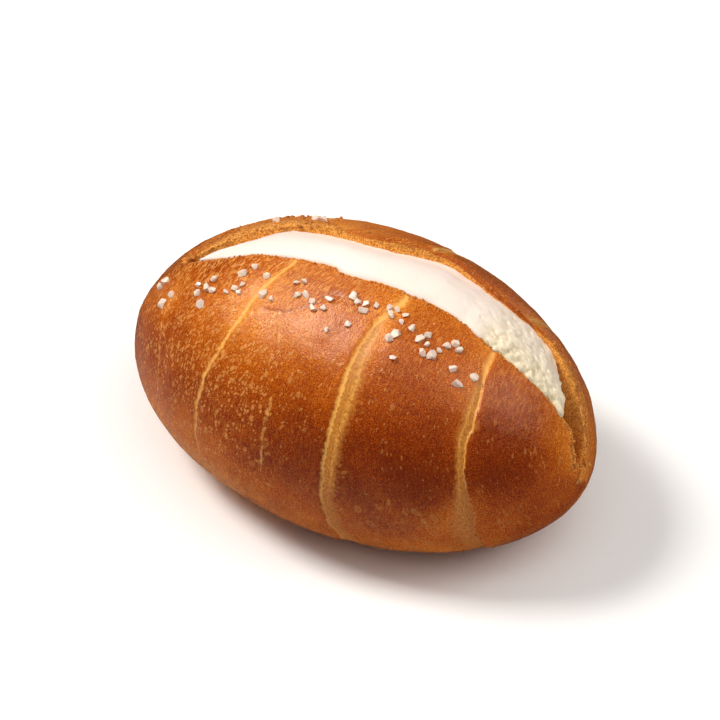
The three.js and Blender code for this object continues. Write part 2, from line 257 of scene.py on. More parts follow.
@dataclass(frozen=True)
class RollShape:
    """The baked roll before it is slit: an oval body with the relief of its winding."""

    length: float
    width: float = 80.0
    waist: float = 23.5
    crown_rise: float = 40.0
    belly_drop: float = 31.0
    end_fullness: float = 1.98
    crown_fullness: float = 2.3
    belly_fullness: float = 1.95
    tray_blend: float = 3.0
    valley_reach: float = 6.0
    step_reach: float = 5.0
    step_blend: float = 0.28
    tip_fade: float = 1.5
    groove_power: float = 1.3
    waver_knots: tuple[float, float] = (7.0, 1.7)
    fine_waver: float = 0.12
    band_depth: float = 1.2
    blur_widths: tuple[float, ...] = (1.0, 3.0, 5.0)
    blur_slopes: tuple[float, ...] = (0.8, 0.32, 0.24)
    bright_top: tuple[float, float] = (96.0, 9.0)
    foot: tuple[float, float] = (150.0, 166.0)
    foot_slope: float = 0.3
    underneath: tuple[float, float] = (160.0, 188.0)
    faint_ends: float = 1.6
    faint_tone: float = 0.3
    faint_under: float = 0.25
    edges: tuple[TurnEdge, ...] = (
        TurnEdge(
            -47.0,
            (-47.5, -46.5, -45.8, -45.2, -44.5, -42.4, -41.6, -41.1, -40.6, -40.0),
            (0.3, 0.4, 0.5, 0.6, 0.6, 0.7, 0.7, 0.7, 0.7, 0.7),
            5.0, Proud.RIGHT, valley=0.2, groove=0.12, step=0.1, pale=0.2,
        ),
        TurnEdge(
            -18.8,
            (-16.5, -19.4, -20.8, -22.3, -24.0, -25.6, -26.1, -26.4, -24.6, -23.0),
            (0.9, 0.9, 0.9, 0.8, 0.8, 0.8, 0.8, 0.8, 0.9, 1.0),
            -6.5, Proud.RIGHT, valley=0.3, groove=0.25, step=0.25, pale=1.2,
        ),
        TurnEdge(
            9.8,
            (12.0, 9.8, 9.2, 9.0, 9.6, 9.9, 10.0, 10.3, 11.7, 13.5),
            (2.0, 1.9, 3.2, 5.0, 4.7, 4.0, 4.0, 4.2, 5.4, 6.2),
            -1.0, Proud.LEFT, valley=0.12, groove=0.34, step=0.34, dull=1.0,
        ),
        TurnEdge(
            37.6,
            (36.5, 37.9, 39.3, 40.2, 40.7, 42.0, 43.6, 44.8, 46.0, 47.0),
            (1.2, 1.2, 2.6, 3.0, 2.2, 1.8, 2.9, 4.2, 5.0, 5.0),
            7.0, Proud.RIGHT, valley=0.35, groove=0.5, step=0.35, dull=1.0, soft_foot=1.0,
        ),
        TurnEdge(
            60.3,
            (60.3,) * 10,
            (0.9,) * 10,
            0.0, Proud.LEFT, valley=0.3, groove=0.4, step=0.3, pale=-4.0,
        ),
    )
    fold_line: tuple[tuple[float, float], ...] = (
        (-19, 113), (-12, 112), (-7, 107), (-5, 101), (-2, 98), (1.4, 100),
    )
    fold_step: float = 0.3
    fold_blend: float = 0.25
    fold_reach: float = 2.0
    fold_ends: float = 2.0
    fold_waver: float = 0.2
    fold_knots: float = 0.9
    no_fold: float = 6.0
    mm_per_degree: float = 0.65
    cracks: tuple[TurnEdge, ...] = (
        TurnEdge(
            -6.0,
            (-6.0, -6.0, -6.0, -6.4, -6.2, -6.0, -6.1, -5.6, -5.4, -5.4),
            (0.3, 0.3, 0.3, 0.35, 0.5, 0.6, 0.45, 0.35, 0.3, 0.3),
            0.0, Proud.LEFT, valley=0.0, groove=0.2, step=0.12, pale=1.2, start=134.0, end=184.0,
        ),
    )

    def taper(self, x: Array) -> Array:
        """Size of the section at x, as a share of the middle one."""
        share = np.minimum(1, np.abs(x) / (self.length / 2))
        return (1 - share**self.end_fullness) ** (1 / self.end_fullness)

    def wound(self, crown: Array, angle: Array) -> Array:
        """Follows turns of dough round the roll.

        Args:
            crown: where a turn of dough crosses the crown.
            angle: degrees round the roll from +Y over the crown.

        Returns:
            Places along the roll.
        """
        half = self.length / 2
        crown, angle = np.broadcast_arrays(crown, angle)
        places = [-half] + [edge.crown for edge in self.edges] + [half]
        left, right = np.full(angle.shape, -half), np.full(angle.shape, half)
        lines = [left, *(edge.along(angle) for edge in self.edges), right]
        x = lines[0]
        for low, high, start, end in zip(places, places[1:], lines, lines[1:]):
            share = (crown - low) / (high - low)
            x = np.where(share >= 0, start + (end - start) * np.minimum(1, share), x)
        return x

    def past_edge(self, edge: TurnEdge, x: Array, angle: Array) -> Array:
        """Measures onto the proud side of an edge.

        Args:
            edge: the edge.
            x: places along the roll.
            angle: degrees round the roll from +Y over the crown.

        Returns:
            Distances, negative on its band.
        """
        index = (self.edges + self.cracks).index(edge)
        slow, fine = self.waver_knots
        uneven = edge.waver * waver(angle, slow, 40 + index)
        uneven = uneven + self.fine_waver * waver(angle, fine, 60 + index)
        return (x - edge.along(angle) - uneven) * edge.proud.value

    def relief(self, x: Array, angle: Array) -> Array:
        """Raises the turns of dough, with valleys, bands and steps between them.

        Args:
            x: places along the roll.
            angle: degrees round the roll from +Y over the crown.

        Returns:
            How far the crust swells outwards.
        """
        total = np.zeros(np.broadcast(x, angle).shape)
        for edge in self.edges + self.cracks:
            onto = self.past_edge(edge, x, angle)
            climb = 0.5 * (1 + np.tanh(onto / self.step_blend))
            across = np.clip(-onto / edge.width(angle), 0, 1)
            rise = edge.step * climb * np.exp(-np.maximum(0, onto) / self.step_reach)
            drop = edge.groove * (1 - climb) * (1 - across) ** self.groove_power
            total += edge.shown(angle) * (rise - drop - edge.valley * bell(onto, self.valley_reach))
        below = self.fold(x, angle)
        sunk = 0.5 * (1 + np.tanh(below / self.fold_blend)) * np.exp(-np.maximum(0, below) / self.fold_reach)
        return total - self.fold_step * sunk

    def band(self, x: Array, angle: Array) -> tuple[Array, Array]:
        """Finds the nearest pale band.

        Args:
            x: places along the roll.
            angle: degrees round the roll.

        Returns:
            Signed distance into the band, positive inside and less where it is faint, and the share of a
            broad band that lies between there and the sharp edge.
        """
        best = np.full(np.broadcast(x, angle).shape, -4.0)
        across = np.zeros(best.shape)
        under = smoothstep(*self.underneath, angle % 360)
        top, reach = self.bright_top
        for edge in self.edges + self.cracks:
            inside, width = -self.past_edge(edge, x, angle), edge.width(angle)
            blurred = np.interp(width, self.blur_widths, self.blur_slopes)
            soft = edge.soft_foot * smoothstep(*self.foot, angle % 360)
            spread = inside * (1 - soft + self.foot_slope * soft) + self.foot_slope * soft
            depth = np.minimum(spread, blurred * (width - inside))
            faint = self.faint_ends * (1 - edge.shown(angle)) + self.faint_tone * (1 - edge.pale)
            depth = np.minimum(depth, self.band_depth) - (faint + self.faint_under * under)
            grainy = np.maximum(inside / width, np.where(soft > 0, 0.5 * soft, -np.inf))
            dulled = edge.dull * (1 - bell(angle % 360 - top, reach)) * grainy
            across = np.where(depth > best, dulled, across)
            best = np.maximum(best, depth)
        return best, across

    def fold(self, x: Array, angle: Array) -> Array:
        """Measures down from the thin fold of skin under the salt.

        Args:
            x: places along the roll.
            angle: degrees round the roll from +Y over the crown.

        Returns:
            Distances below it, far where there is no fold.
        """
        places, angles = zip(*self.fold_line)
        below = (angle % 360 - np.interp(x, places, angles)) * self.mm_per_degree
        begun = smoothstep(places[0], places[0] + self.fold_ends, x)
        away = self.no_fold * (1 - begun * smoothstep(places[-1], places[-1] - self.fold_ends, x))
        return below + self.fold_waver * waver(x, self.fold_knots, 5) + np.where(below >= 0, away, -away)

    def rest_on_tray(self, height: Array) -> Array:
        """Flattens the belly where it met the tray.

        Args:
            height: heights of the plain belly.

        Returns:
            Heights above the table.
        """
        blend = self.tray_blend
        eased = (height + blend) ** 2 / (4 * blend)
        return np.where(height >= blend, height, np.where(height <= -blend, 0.0, eased))

    def height(self, x: Array, y: Array) -> Array:
        """Finds the plain crown's height, without relief.

        Args:
            x: places along the roll.
            y: places across the roll.

        Returns:
            Heights above the table.
        """
        size, full = self.taper(x), self.crown_fullness
        share = np.clip(np.abs(y) / (size * self.width / 2 + 1e-6), 0, 1)
        return self.waist + self.crown_rise * size * (1 - share**full) ** (1 / full)


@dataclass(frozen=True)
class Slit:
    """The torn slit along the top of the roll."""

    roll: RollShape
    left: float = -49.0
    right: float = 62.0
    widest: float = 12.0
    opening: float = 20.0
    left_fullness: float = 2.5
    right_fullness: float = 3.5
    depth: float = 30.0
    depth_power: float = 0.8
    root_share: float = 0.35
    cut: float = -0.7
    cut_drift: float = 0.045
    cut_straight_from: float = 12.0
    near_tears: tuple[tuple[float, float], ...] = (
        (-49, -0.6), (-36, -1.1), (-31, 0.1), (-28, 0.6), (-20, 1.2), (-6.3, 1.1), (-5.7, -0.4), (1, -0.3),
        (2.5, 0.1), (3.2, 0.7), (12, 0.9), (18, 1.6), (26, 1.7), (36, 0.2), (57.5, 0.0), (60.5, -3.4),
    )
    far_bulges: tuple[tuple[float, float, float], ...] = ((-4.0, 4.4, 12.0), (28.0, 3.0, 11.0))
    far_rises: tuple[tuple[float, float], ...] = (
        (-49, 1.0), (-30, 0.6), (-18, 0.8), (0, 2.1), (18, 2.3), (26, 1.3), (36, 0.9), (62, 1.2),
    )
    far_reach: float = 6.0
    ragged: float = 0.14
    nicks: tuple[tuple[float, float], ...] = ((4.5, 1.0), (1.6, 0.7), (0.6, 0.35))

    def open_share(self, x: Array) -> Array:
        """Finds how far the slit is open.

        Args:
            x: places along the roll.

        Returns:
            Shares of its widest opening.
        """
        run = np.where(x < self.widest, self.widest - self.left, self.right - self.widest)
        fullness = np.where(x < self.widest, self.left_fullness, self.right_fullness)
        return 1 - np.clip(np.abs(x - self.widest) / run, 0, 1) ** fullness

    def torn(self, x: Array, seed: int) -> Array:
        """Unevenness of a torn lip: slow waver, small nicks and fine fray."""
        uneven = sum(part * waver(x, knots, seed + number) for number, (knots, part) in enumerate(self.nicks))
        return self.ragged * uneven * np.minimum(1, 2 * self.open_share(x))

    def cut_line(self, x: Array) -> Array:
        """The line that the slit was cut along, across the roll."""
        line = self.cut + self.cut_drift * np.minimum(x, self.cut_straight_from) + self.torn(x, 7)
        return line * np.minimum(1, self.roll.taper(x) / 0.6)

    def near(self, x: Array) -> Array:
        """The near lip's place across the roll: torn away from the cut, and curled back at the right end."""
        tear = np.interp(x, *zip(*self.near_tears))
        return self.cut_line(x) + tear * np.minimum(1, 12 * self.open_share(x))

    def far(self, x: Array) -> Array:
        """Finds the far lip.

        Args:
            x: places along the roll.

        Returns:
            Its places across the roll.
        """
        opening = self.opening * self.open_share(x) + self.torn(x, 17)
        for place, bulge, reach in self.far_bulges:
            opening = opening - bulge * bell(x - place, reach)
        return self.cut_line(x) + np.maximum(0, opening)

    def far_lift(self, x: Array, y: Array) -> Array:
        """Height by which the far lip is pushed up above the plain crown."""
        rise = np.interp(x, *zip(*self.far_rises))
        return rise * self.open_share(x) * bell(y - self.far(x), self.far_reach)

    def depth_at(self, x: Array) -> Array:
        """Depth of the root below the near lip."""
        return self.depth * self.open_share(x) ** self.depth_power

    def crust_point(self, crown: Array, angle: Array) -> Array:
        """Points of the crust.

        Args:
            crown: where a point's turn of dough crosses the crown.
            angle: degrees round the roll from +Y over the crown.

        Returns:
            Points in millimetres, in a last axis of three.
        """
        roll = self.roll
        across, up = np.cos(np.radians(angle)), np.sin(np.radians(angle))
        x = roll.wound(crown, angle)
        size = roll.taper(x)
        power = 2 / np.where(up >= 0, roll.crown_fullness, roll.belly_fullness)
        rise = np.where(up >= 0, roll.crown_rise, roll.belly_drop)
        y = size * roll.width / 2 * np.sign(across) * np.abs(across) ** power
        z = size * rise * np.sign(up) * np.abs(up) ** power
        relief = roll.relief(x, angle) * np.minimum(1, roll.tip_fade * size)
        swell = 1 + relief / (np.hypot(y, z) + 1)
        y = y * swell
        lift = self.far_lift(x, y) * np.maximum(0, up)
        return np.stack(np.broadcast_arrays(x, y, roll.rest_on_tray(roll.waist + z * swell + lift)), -1)

    def lip_angle(self, crown: Array, lip: Callable[[Array], Array]) -> Array:
        """Angle at which each turn meets a lip.

        Args:
            crown: places on the crown.
            lip: the method that gives the lip's place across the roll.

        Returns:
            Degrees from +Y over the crown.
        """
        roll = self.roll
        across = np.zeros_like(crown)
        for _ in range(6):
            x = roll.wound(crown, np.degrees(np.arccos(across)))
            y = lip(x)
            share = np.minimum(0.97, np.abs(y) / (roll.taper(x) * roll.width / 2 + 1e-6))
            across = np.sign(y) * share ** (roll.crown_fullness / 2)
        return np.degrees(np.arccos(across))


def piece(name: str, mesh: Mesh, slot: str, *nodes: str) -> Object:
    """Puts a finished mesh into the scene as a piece of the roll.

    Args:
        name: the piece's name.
        mesh: its mesh, in place.
        slot: a material slot's name; not used.
        nodes: the CAD nodes that it stands for.

    Returns:
        The new object.
    """
    made = bpy.data.objects.new(name, mesh)
    bpy.context.scene.collection.objects.link(made)
    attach(made, BODY)
    if nodes:
        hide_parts(*nodes)
    LOG.info("%s: %d faces", name, len(mesh.polygons))
    return made


def grown(name: str, mesh: Mesh, tree: NodeTree, values: dict[str, Any]) -> Mesh:
    """Runs a Geometry Nodes tree on a mesh.

    Args:
        name: name of the result.
        mesh: what the tree starts from.
        tree: the tree.
        values: a value for each of its named inputs.

    Returns:
        The result as a plain mesh.
    """
    seedling = bpy.data.objects.new(name + "_seedling", mesh)
    bpy.context.scene.collection.objects.link(seedling)
    modifier = seedling.modifiers.new(tree.name, "NODES")
    modifier.node_group = tree
    for item in tree.interface.items_tree:
        if item.item_type == "SOCKET" and item.in_out == "INPUT" and item.name in values:
            modifier[item.identifier] = values[item.name]
    depsgraph = bpy.context.evaluated_depsgraph_get()
    result = bpy.data.meshes.new_from_object(
        seedling.evaluated_get(depsgraph), preserve_all_data_layers=True, depsgraph=depsgraph
    )
    result.name = name
    bpy.data.objects.remove(seedling)
    return result


def new_tree(name: str, values: dict[str, Any]) -> tuple[NodeTree, Node]:
    """Starts a Geometry Nodes tree.

    Args:
        name: the tree's name.
        values: a value for each input that it has after the geometry, by the input's name.

    Returns:
        The tree and its group input.
    """
    tree = bpy.data.node_groups.new(name, "GeometryNodeTree")
    tree.interface.new_socket("Geometry", in_out="INPUT", socket_type="NodeSocketGeometry")
    for label, value in values.items():
        tree.interface.new_socket(label, in_out="INPUT", socket_type=INPUT_KINDS[type(value)])
    tree.interface.new_socket("Geometry", in_out="OUTPUT", socket_type="NodeSocketGeometry")
    return tree, add(tree, "NodeGroupInput")


def dressed(tree: NodeTree, given: Node, shape: Socket) -> None:
    """Ends a Geometry Nodes tree: makes its instances real and gives the result its finish.

    Args:
        tree: the tree.
        given: its group input, with a material named Finish.
        shape: the geometry to hand out.
    """
    real = add(tree, "GeometryNodeRealizeInstances", {0: shape}).outputs[0]
    finished = add(tree, "GeometryNodeSetMaterial", {0: real, "Material": given.outputs["Finish"]}).outputs[0]
    add(tree, "NodeGroupOutput", {0: finished})


def raised(
    tree: NodeTree,
    given: Node,
    surface: Socket,
    layers: list[tuple[Socket, Socket, Socket]],
    lumps: tuple[tuple[float, Socket, Socket], ...],
    scale: Socket | float,
) -> None:
    """Ends a Geometry Nodes tree that gives a surface relief along its normals.

    Args:
        tree: the tree.
        given: its group input, with a material named Finish.
        surface: the geometry to raise.
        layers: patterns, their heights in millimetres and their masks.
        lumps: sizes of random lumps in millimetres, their heights and their masks.
        scale: metres to a millimetre, or less where the surface stays put.
    """
    place = add(tree, "GeometryNodeInputPosition").outputs[0]
    for size, height, mask in lumps:
        noise = add(tree, "ShaderNodeTexNoise", {"Vector": place, "Scale": 1 / (size * MM), "Detail": 2.0})
        signed = add(tree, "ShaderNodeMapRange", {0: noise.outputs[0], 1: 0.3, 2: 0.7, 3: -1.0, 4: 1.0})
        layers.append((signed.outputs[0], height, mask))
    total: Socket | float = 0.0
    for pattern, height, mask in layers:
        layer = add(tree, "ShaderNodeMath", {0: pattern, 1: height}, operation="MULTIPLY").outputs[0]
        masked = {0: layer, 1: mask, 2: total}
        total = add(tree, "ShaderNodeMath", masked, operation="MULTIPLY_ADD").outputs[0]
    total = add(tree, "ShaderNodeMath", {0: total, 1: scale}, operation="MULTIPLY").outputs[0]
    normal = add(tree, "GeometryNodeInputNormal").outputs[0]
    offset = add(tree, "ShaderNodeVectorMath", {0: normal, "Scale": total}, operation="SCALE").outputs[0]
    moved = add(tree, "GeometryNodeSetPosition", {"Geometry": surface, "Offset": offset}).outputs[0]
    dressed(tree, given, moved)


def lofted(name: str, rings: Array, first: Array, last: Array, values: dict[str, Array]) -> Mesh:
    """Skins closed rings of points into a closed mesh.

    Args:
        name: the mesh's name.
        rings: points in millimetres, ring by ring.
        first: the point that closes the first ring.
        last: the point that closes the last ring.
        values: a named value for each point of the rings, numbers or vectors.

    Returns:
        The mesh, in metres.
    """
    count, around = rings.shape[:2]
    points = np.concatenate([rings.reshape(-1, 3), first[None], last[None]]) * MM
    ring, step = np.meshgrid(np.arange(count - 1), np.arange(around), indexing="ij")
    a, b = ring * around + step, ring * around + (step + 1) % around
    quads = np.stack([a, b, b + around, a + around], -1).reshape(-1, 4)
    start = np.arange(around)
    after = (start + 1) % around
    tip, tail = count * around, count * around + 1
    base = (count - 1) * around
    fans = [(tip, int(q), int(p)) for p, q in zip(start, after)]
    fans += [(tail, base + int(p), base + int(q)) for p, q in zip(start, after)]
    mesh = bpy.data.meshes.new(name)
    mesh.from_pydata(points.tolist(), [], quads.tolist() + fans)
    for label, value in values.items():
        caps = [value[end, :1].reshape(1, -1) for end in (0, -1)]
        ends = np.concatenate([value.reshape(count * around, -1), *caps])
        kind, key = ("FLOAT", "value") if ends.shape[1] == 1 else ("FLOAT_VECTOR", "vector")
        mesh.attributes.new(label, kind, "POINT").data.foreach_set(key, ends.astype(np.float32).ravel())
    shell = bmesh.new()
    shell.from_mesh(mesh)
    bmesh.ops.remove_doubles(shell, verts=shell.verts, dist=WELD_MM * MM)
    bmesh.ops.dissolve_degenerate(shell, edges=shell.edges, dist=SLIVER_MM * MM)
    shell.to_mesh(mesh)
    shell.free()
    mesh.shade_smooth()
    return mesh


@dataclass(frozen=True)
class Spots:
    """A scatter of small round-ended spots: how far apart, their radii, and how long they are round the roll.

    share is how many of the places are taken, and crowd the size of the crowds. A hollow spot is a ring. The
    colour is laid on with its strength. drift bends the spots' rows, solid is the share of a spot inside its
    soft edge, and core the share that a ring leaves open.
    """

    spacing: float
    smallest: float
    largest: float
    stretch: float
    share: float
    colour: str
    strength: float
    crowd: float = 5.0
    hollow: float = 0.0
    drift: float = 1.3
    solid: float = 0.55
    core: float = 0.3

    def pattern(self, tree: NodeTree, dough: Socket, held: Socket) -> Socket:
        """Draws the spots.

        Args:
            tree: a shader tree or a Geometry Nodes tree.
            dough: place on the crust in millimetres, along the roll and round it.
            held: how thickly the crust there is spotted, from 0 to 1.

        Returns:
            The socket that is 1 in a spot and 0 outside.
        """
        swirl = add(tree, "ShaderNodeTexNoise", {"Vector": dough, "Scale": 0.5 / self.spacing, "Detail": 1.0})
        drift = {0: swirl.outputs["Color"], 1: (self.drift * self.spacing,) * 3, 2: dough}
        drifted = add(tree, "ShaderNodeVectorMath", drift, operation="MULTIPLY_ADD").outputs[0]
        shorter = {0: drifted, 1: (1.0, 1 / self.stretch, 1.0)}
        squeezed = add(tree, "ShaderNodeVectorMath", shorter, operation="MULTIPLY").outputs[0]
        packing = {"Vector": squeezed, "Scale": 1 / self.spacing, "Randomness": 1.0}
        cells = add(tree, "ShaderNodeTexVoronoi", packing, voronoi_dimensions="2D")
        away = cells.outputs["Distance"]
        draw = add(tree, "ShaderNodeSeparateXYZ", {0: cells.outputs["Color"]})
        radii = {3: self.smallest / self.spacing, 4: self.largest / self.spacing}
        edge = add(tree, "ShaderNodeMapRange", {0: draw.outputs[1], **radii}).outputs[0]
        solid = add(tree, "ShaderNodeMath", {0: edge, 1: self.solid}, operation="MULTIPLY").outputs[0]
        rise = {0: away, 1: edge, 2: solid}
        spot = add(tree, "ShaderNodeMapRange", rise, interpolation_type="SMOOTHSTEP").outputs[0]
        core = add(tree, "ShaderNodeMath", {0: edge, 1: self.core}, operation="MULTIPLY").outputs[0]
        sunk = add(tree, "ShaderNodeMapRange", {0: away, 1: solid, 2: core, 4: -self.hollow}).outputs[0]
        spot = add(tree, "ShaderNodeMath", {0: spot, 1: sunk}, operation="ADD").outputs[0]
        crowding = {"Vector": dough, "Scale": 1 / self.crowd, "Detail": 1.0}
        crowd = add(tree, "ShaderNodeTexNoise", crowding).outputs[0]
        taken = {0: crowd, 1: 0.38, 2: 0.62, 3: 0.2, 4: 1.6 * self.share}
        crowd = add(tree, "ShaderNodeMapRange", taken).outputs[0]
        chance = add(tree, "ShaderNodeMath", {0: held, 1: crowd}, operation="MULTIPLY").outputs[0]
        kept = add(tree, "ShaderNodeMath", {0: draw.outputs[0], 1: chance}, operation="LESS_THAN").outputs[0]
        return add(tree, "ShaderNodeMath", {0: spot, 1: kept}, operation="MULTIPLY").outputs[0]


@dataclass(frozen=True)
class CrustFinish:
    """Lean bread crust baked in steam, with the crumb that its torn lips bare.

    The skin is thin, browned and glossy, with a fine grain, pale specks and soft blisters. It is golden where
    it stretched. The crumb is dull, golden and full of pores.
    """

    browning: tuple[tuple[float, str], ...] = (
        (0.0, "#ee9734"), (0.35, "#c0620e"), (0.6, "#a84904"), (0.8, "#903602"), (1.0, "#702202"),
    )
    gloss: str = "#ffe8d4"
    rim: str = "#f0b056"
    stretched: str = "#d48c38"
    cracked: str = "#9e5812"
    stretched_low: str = "#d6822e"
    cracked_low: str = "#8e450c"
    rubbing: str = "#b87434"
    streaky: str = "#e09440"
    crumb: str = "#f6b458"
    crumb_shade: str = "#b8681c"
    crust_edge: str = "#dc8c2e"
    crust_edge_shade: str = "#863e06"
    roughness: float = 0.24
    band_roughness: float = 0.42
    crumb_roughness: float = 0.85
    bump_strength: float = 0.7
    bump_mm: float = 0.12
    spot_bump: float = 0.7
    mottle_mm: float = 9.0
    mottle_strength: float = 0.12
    grain_mm: float = 0.27
    grain_strength: float = 0.42
    smear_mm: float = 2.6
    smear_strength: float = 0.25
    streak_mm: float = 0.5
    streak_share: float = 0.2
    streak_strength: float = 0.9
    split_mm: float = 0.42
    split_share: float = 0.5
    fibre_mm: float = 0.9
    fray_mm: float = 0.28
    pore_mm: float = 0.45
    low_band_mm: tuple[float, float] = (46.0, 22.0)
    blisters: Spots = Spots(
        spacing=1.9, smallest=0.25, largest=0.75, stretch=1.6, share=0.8, colour="#d6924a", strength=0.55,
    )
    specks: Spots = Spots(
        spacing=0.85, smallest=0.14, largest=0.4, stretch=1.6, share=1.0, colour="#e09a50", strength=0.6,
    )
    # Painted highlights: tiny pale spots that stand in for light sparkling off the grain.
    painted_glints: Spots = Spots(
        spacing=0.55, smallest=0.07, largest=0.17, stretch=1.2, share=0.5, colour="#d88c44", strength=0.5,
        crowd=2.5,
    )
    bubbles: Spots = Spots(
        spacing=3.2, smallest=0.4, largest=1.1, stretch=1.2, share=0.9, colour="#b87434", strength=0.6,
        hollow=0.75,
    )

    def material(self) -> Material:
        """Builds the crust and crumb material.

        Returns:
            The material.
        """
        material, tree, shader = new_material("baked_bread_crust")
        shader.inputs["Specular Tint"].default_value = linear(self.gloss)
        place = add(tree, "ShaderNodeTexCoord").outputs["Object"]
        dough = add(tree, "ShaderNodeAttribute", attribute_name="dough").outputs["Vector"]
        own = {
            name: add(tree, "ShaderNodeAttribute", attribute_name=name).outputs["Fac"]
            for name in ("bake", "specks", "streaks", "rubbed", "dry", "band", "across", "crust", "tear")
        }
        fine = {"Vector": place, "Scale": 1 / (self.grain_mm * MM), "Detail": 1.0}
        grain = add(tree, "ShaderNodeTexNoise", fine).outputs[0]
        fibrous = {"Vector": place, "Scale": 1 / (self.fibre_mm * MM), "Detail": 4.0}
        fibre = add(tree, "ShaderNodeTexNoise", fibrous).outputs[0]
        uneven = {0: fibre, 1: 0.2, 2: 0.8, 3: -self.fray_mm, 4: self.fray_mm}
        fray = add(tree, "ShaderNodeMapRange", uneven).outputs[0]

        skin, spotted = self.skin(tree, place, dough, grain, own)
        inside, stretched = self.stretch(tree, place, dough, fray, own)
        skin = add(tree, "ShaderNodeMix", {0: inside, 6: skin, 7: stretched}, data_type="RGBA").outputs[2]
        torn = add(tree, "ShaderNodeMath", {0: own["crust"], 1: fray}, operation="ADD").outputs[0]
        edge = {0: torn, 1: -0.15, 2: 0.2}
        skinned = add(tree, "ShaderNodeMapRange", edge, interpolation_type="SMOOTHSTEP").outputs[0]
        tones = {0: skinned, 6: self.bared(tree, place, fray, own["tear"]), 7: skin}
        colour = add(tree, "ShaderNodeMix", tones, data_type="RGBA").outputs[2]
        tree.links.new(colour, shader.inputs["Base Color"])

        dull = add(tree, "ShaderNodeMath", {0: own["dry"], 1: inside}, operation="MAXIMUM").outputs[0]
        sheen = {0: dull, 3: self.roughness, 4: self.band_roughness}
        sheen = {0: skinned, 3: self.crumb_roughness, 4: add(tree, "ShaderNodeMapRange", sheen).outputs[0]}
        rough = add(tree, "ShaderNodeMapRange", sheen).outputs[0]
        tree.links.new(rough, shader.inputs["Roughness"])
        heights = {0: spotted, 1: self.spot_bump, 2: grain}
        height = add(tree, "ShaderNodeMath", heights, operation="MULTIPLY_ADD").outputs[0]
        relief = {"Strength": self.bump_strength, "Distance": self.bump_mm * MM, "Height": height}
        tree.links.new(add(tree, "ShaderNodeBump", relief).outputs[0], shader.inputs["Normal"])
        return material

    def skin(
        self, tree: NodeTree, place: Socket, dough: Socket, grain: Socket, own: dict[str, Socket]
    ) -> tuple[Socket, Socket]:
        """Colours the skin: browned by how it baked, mottled, streaked and grainy, with specks and blisters.

        Args:
            tree: the material's tree.
            place: place in the roll.
            dough: place on the crust in millimetres.
            grain: the fine grain.
            own: the roll's own values.

        Returns:
            The skin's colour, and a mask of its spots.
        """
        broad = {"Vector": place, "Scale": 1 / (self.mottle_mm * MM), "Detail": 4.0}
        mottle = add(tree, "ShaderNodeTexNoise", broad).outputs[0]
        browned = own["bake"]
        for pattern, strength in ((mottle, self.mottle_strength), (grain, self.grain_strength)):
            spread = {0: pattern, 1: 0.25, 2: 0.75, 3: -strength, 4: strength}
            shade = add(tree, "ShaderNodeMapRange", spread).outputs[0]
            browned = add(tree, "ShaderNodeMath", {0: browned, 1: shade}, operation="ADD").outputs[0]
        ramp = add(tree, "ShaderNodeValToRGB", {0: browned})
        stops = ramp.color_ramp.elements
        stops.remove(stops[1])
        for number, (bake, colour) in enumerate(self.browning):
            stop = stops.new(bake) if number else stops[0]
            stop.color = linear(colour)
        skin = ramp.outputs[0]

        longer = {0: dough, 1: (1.0, self.streak_share, 1.0)}
        drawn = add(tree, "ShaderNodeVectorMath", longer, operation="MULTIPLY").outputs[0]
        streak = {"Vector": drawn, "Scale": 1 / self.streak_mm, "Detail": 3.0}
        smear = {"Vector": place, "Scale": 1 / (self.smear_mm * MM), "Detail": 6.0}
        smear |= {"Roughness": 0.65, "Distortion": 0.4}
        for marks, high, strength, easing, held, colour in (
            (streak, 0.62, self.streak_strength, "SMOOTHSTEP", own["streaks"], self.streaky),
            (smear, 0.68, self.smear_strength, "LINEAR", own["rubbed"], self.rubbing),
        ):
            noise = add(tree, "ShaderNodeTexNoise", marks).outputs[0]
            strong = {0: noise, 1: 0.48, 2: high, 4: strength}
            mark = add(tree, "ShaderNodeMapRange", strong, interpolation_type=easing).outputs[0]
            mark = add(tree, "ShaderNodeMath", {0: mark, 1: held}, operation="MULTIPLY").outputs[0]
            tones = {0: mark, 6: skin, 7: linear(colour)}
            skin = add(tree, "ShaderNodeMix", tones, data_type="RGBA").outputs[2]

        spotted: Socket | float = 0.0
        # even spreads the painted glints, pale spots standing in for sparkle of light, thinly over the skin.
        even = add(tree, "ShaderNodeMapRange", {0: own["specks"], 2: 0.6, 3: 0.05, 4: 0.8}).outputs[0]
        faint = add(tree, "ShaderNodeMapRange", {0: own["specks"], 2: 0.5, 3: 0.4, 4: 1.0}).outputs[0]
        for spots, held, fade in (
            (self.blisters, own["specks"], faint),
            (self.specks, own["specks"], faint),
            (self.painted_glints, even, faint),
            (self.bubbles, own["rubbed"], 1.0),
        ):
            shown = spots.pattern(tree, dough, held)
            spotted = add(tree, "ShaderNodeMath", {0: shown, 1: spotted}, operation="MAXIMUM").outputs[0]
            for strength in (spots.strength, fade):
                weaker = {0: shown, 1: strength}
                shown = add(tree, "ShaderNodeMath", weaker, operation="MULTIPLY").outputs[0]
            tones = {0: shown, 6: skin, 7: linear(spots.colour)}
            skin = add(tree, "ShaderNodeMix", tones, data_type="RGBA").outputs[2]
        return skin, spotted

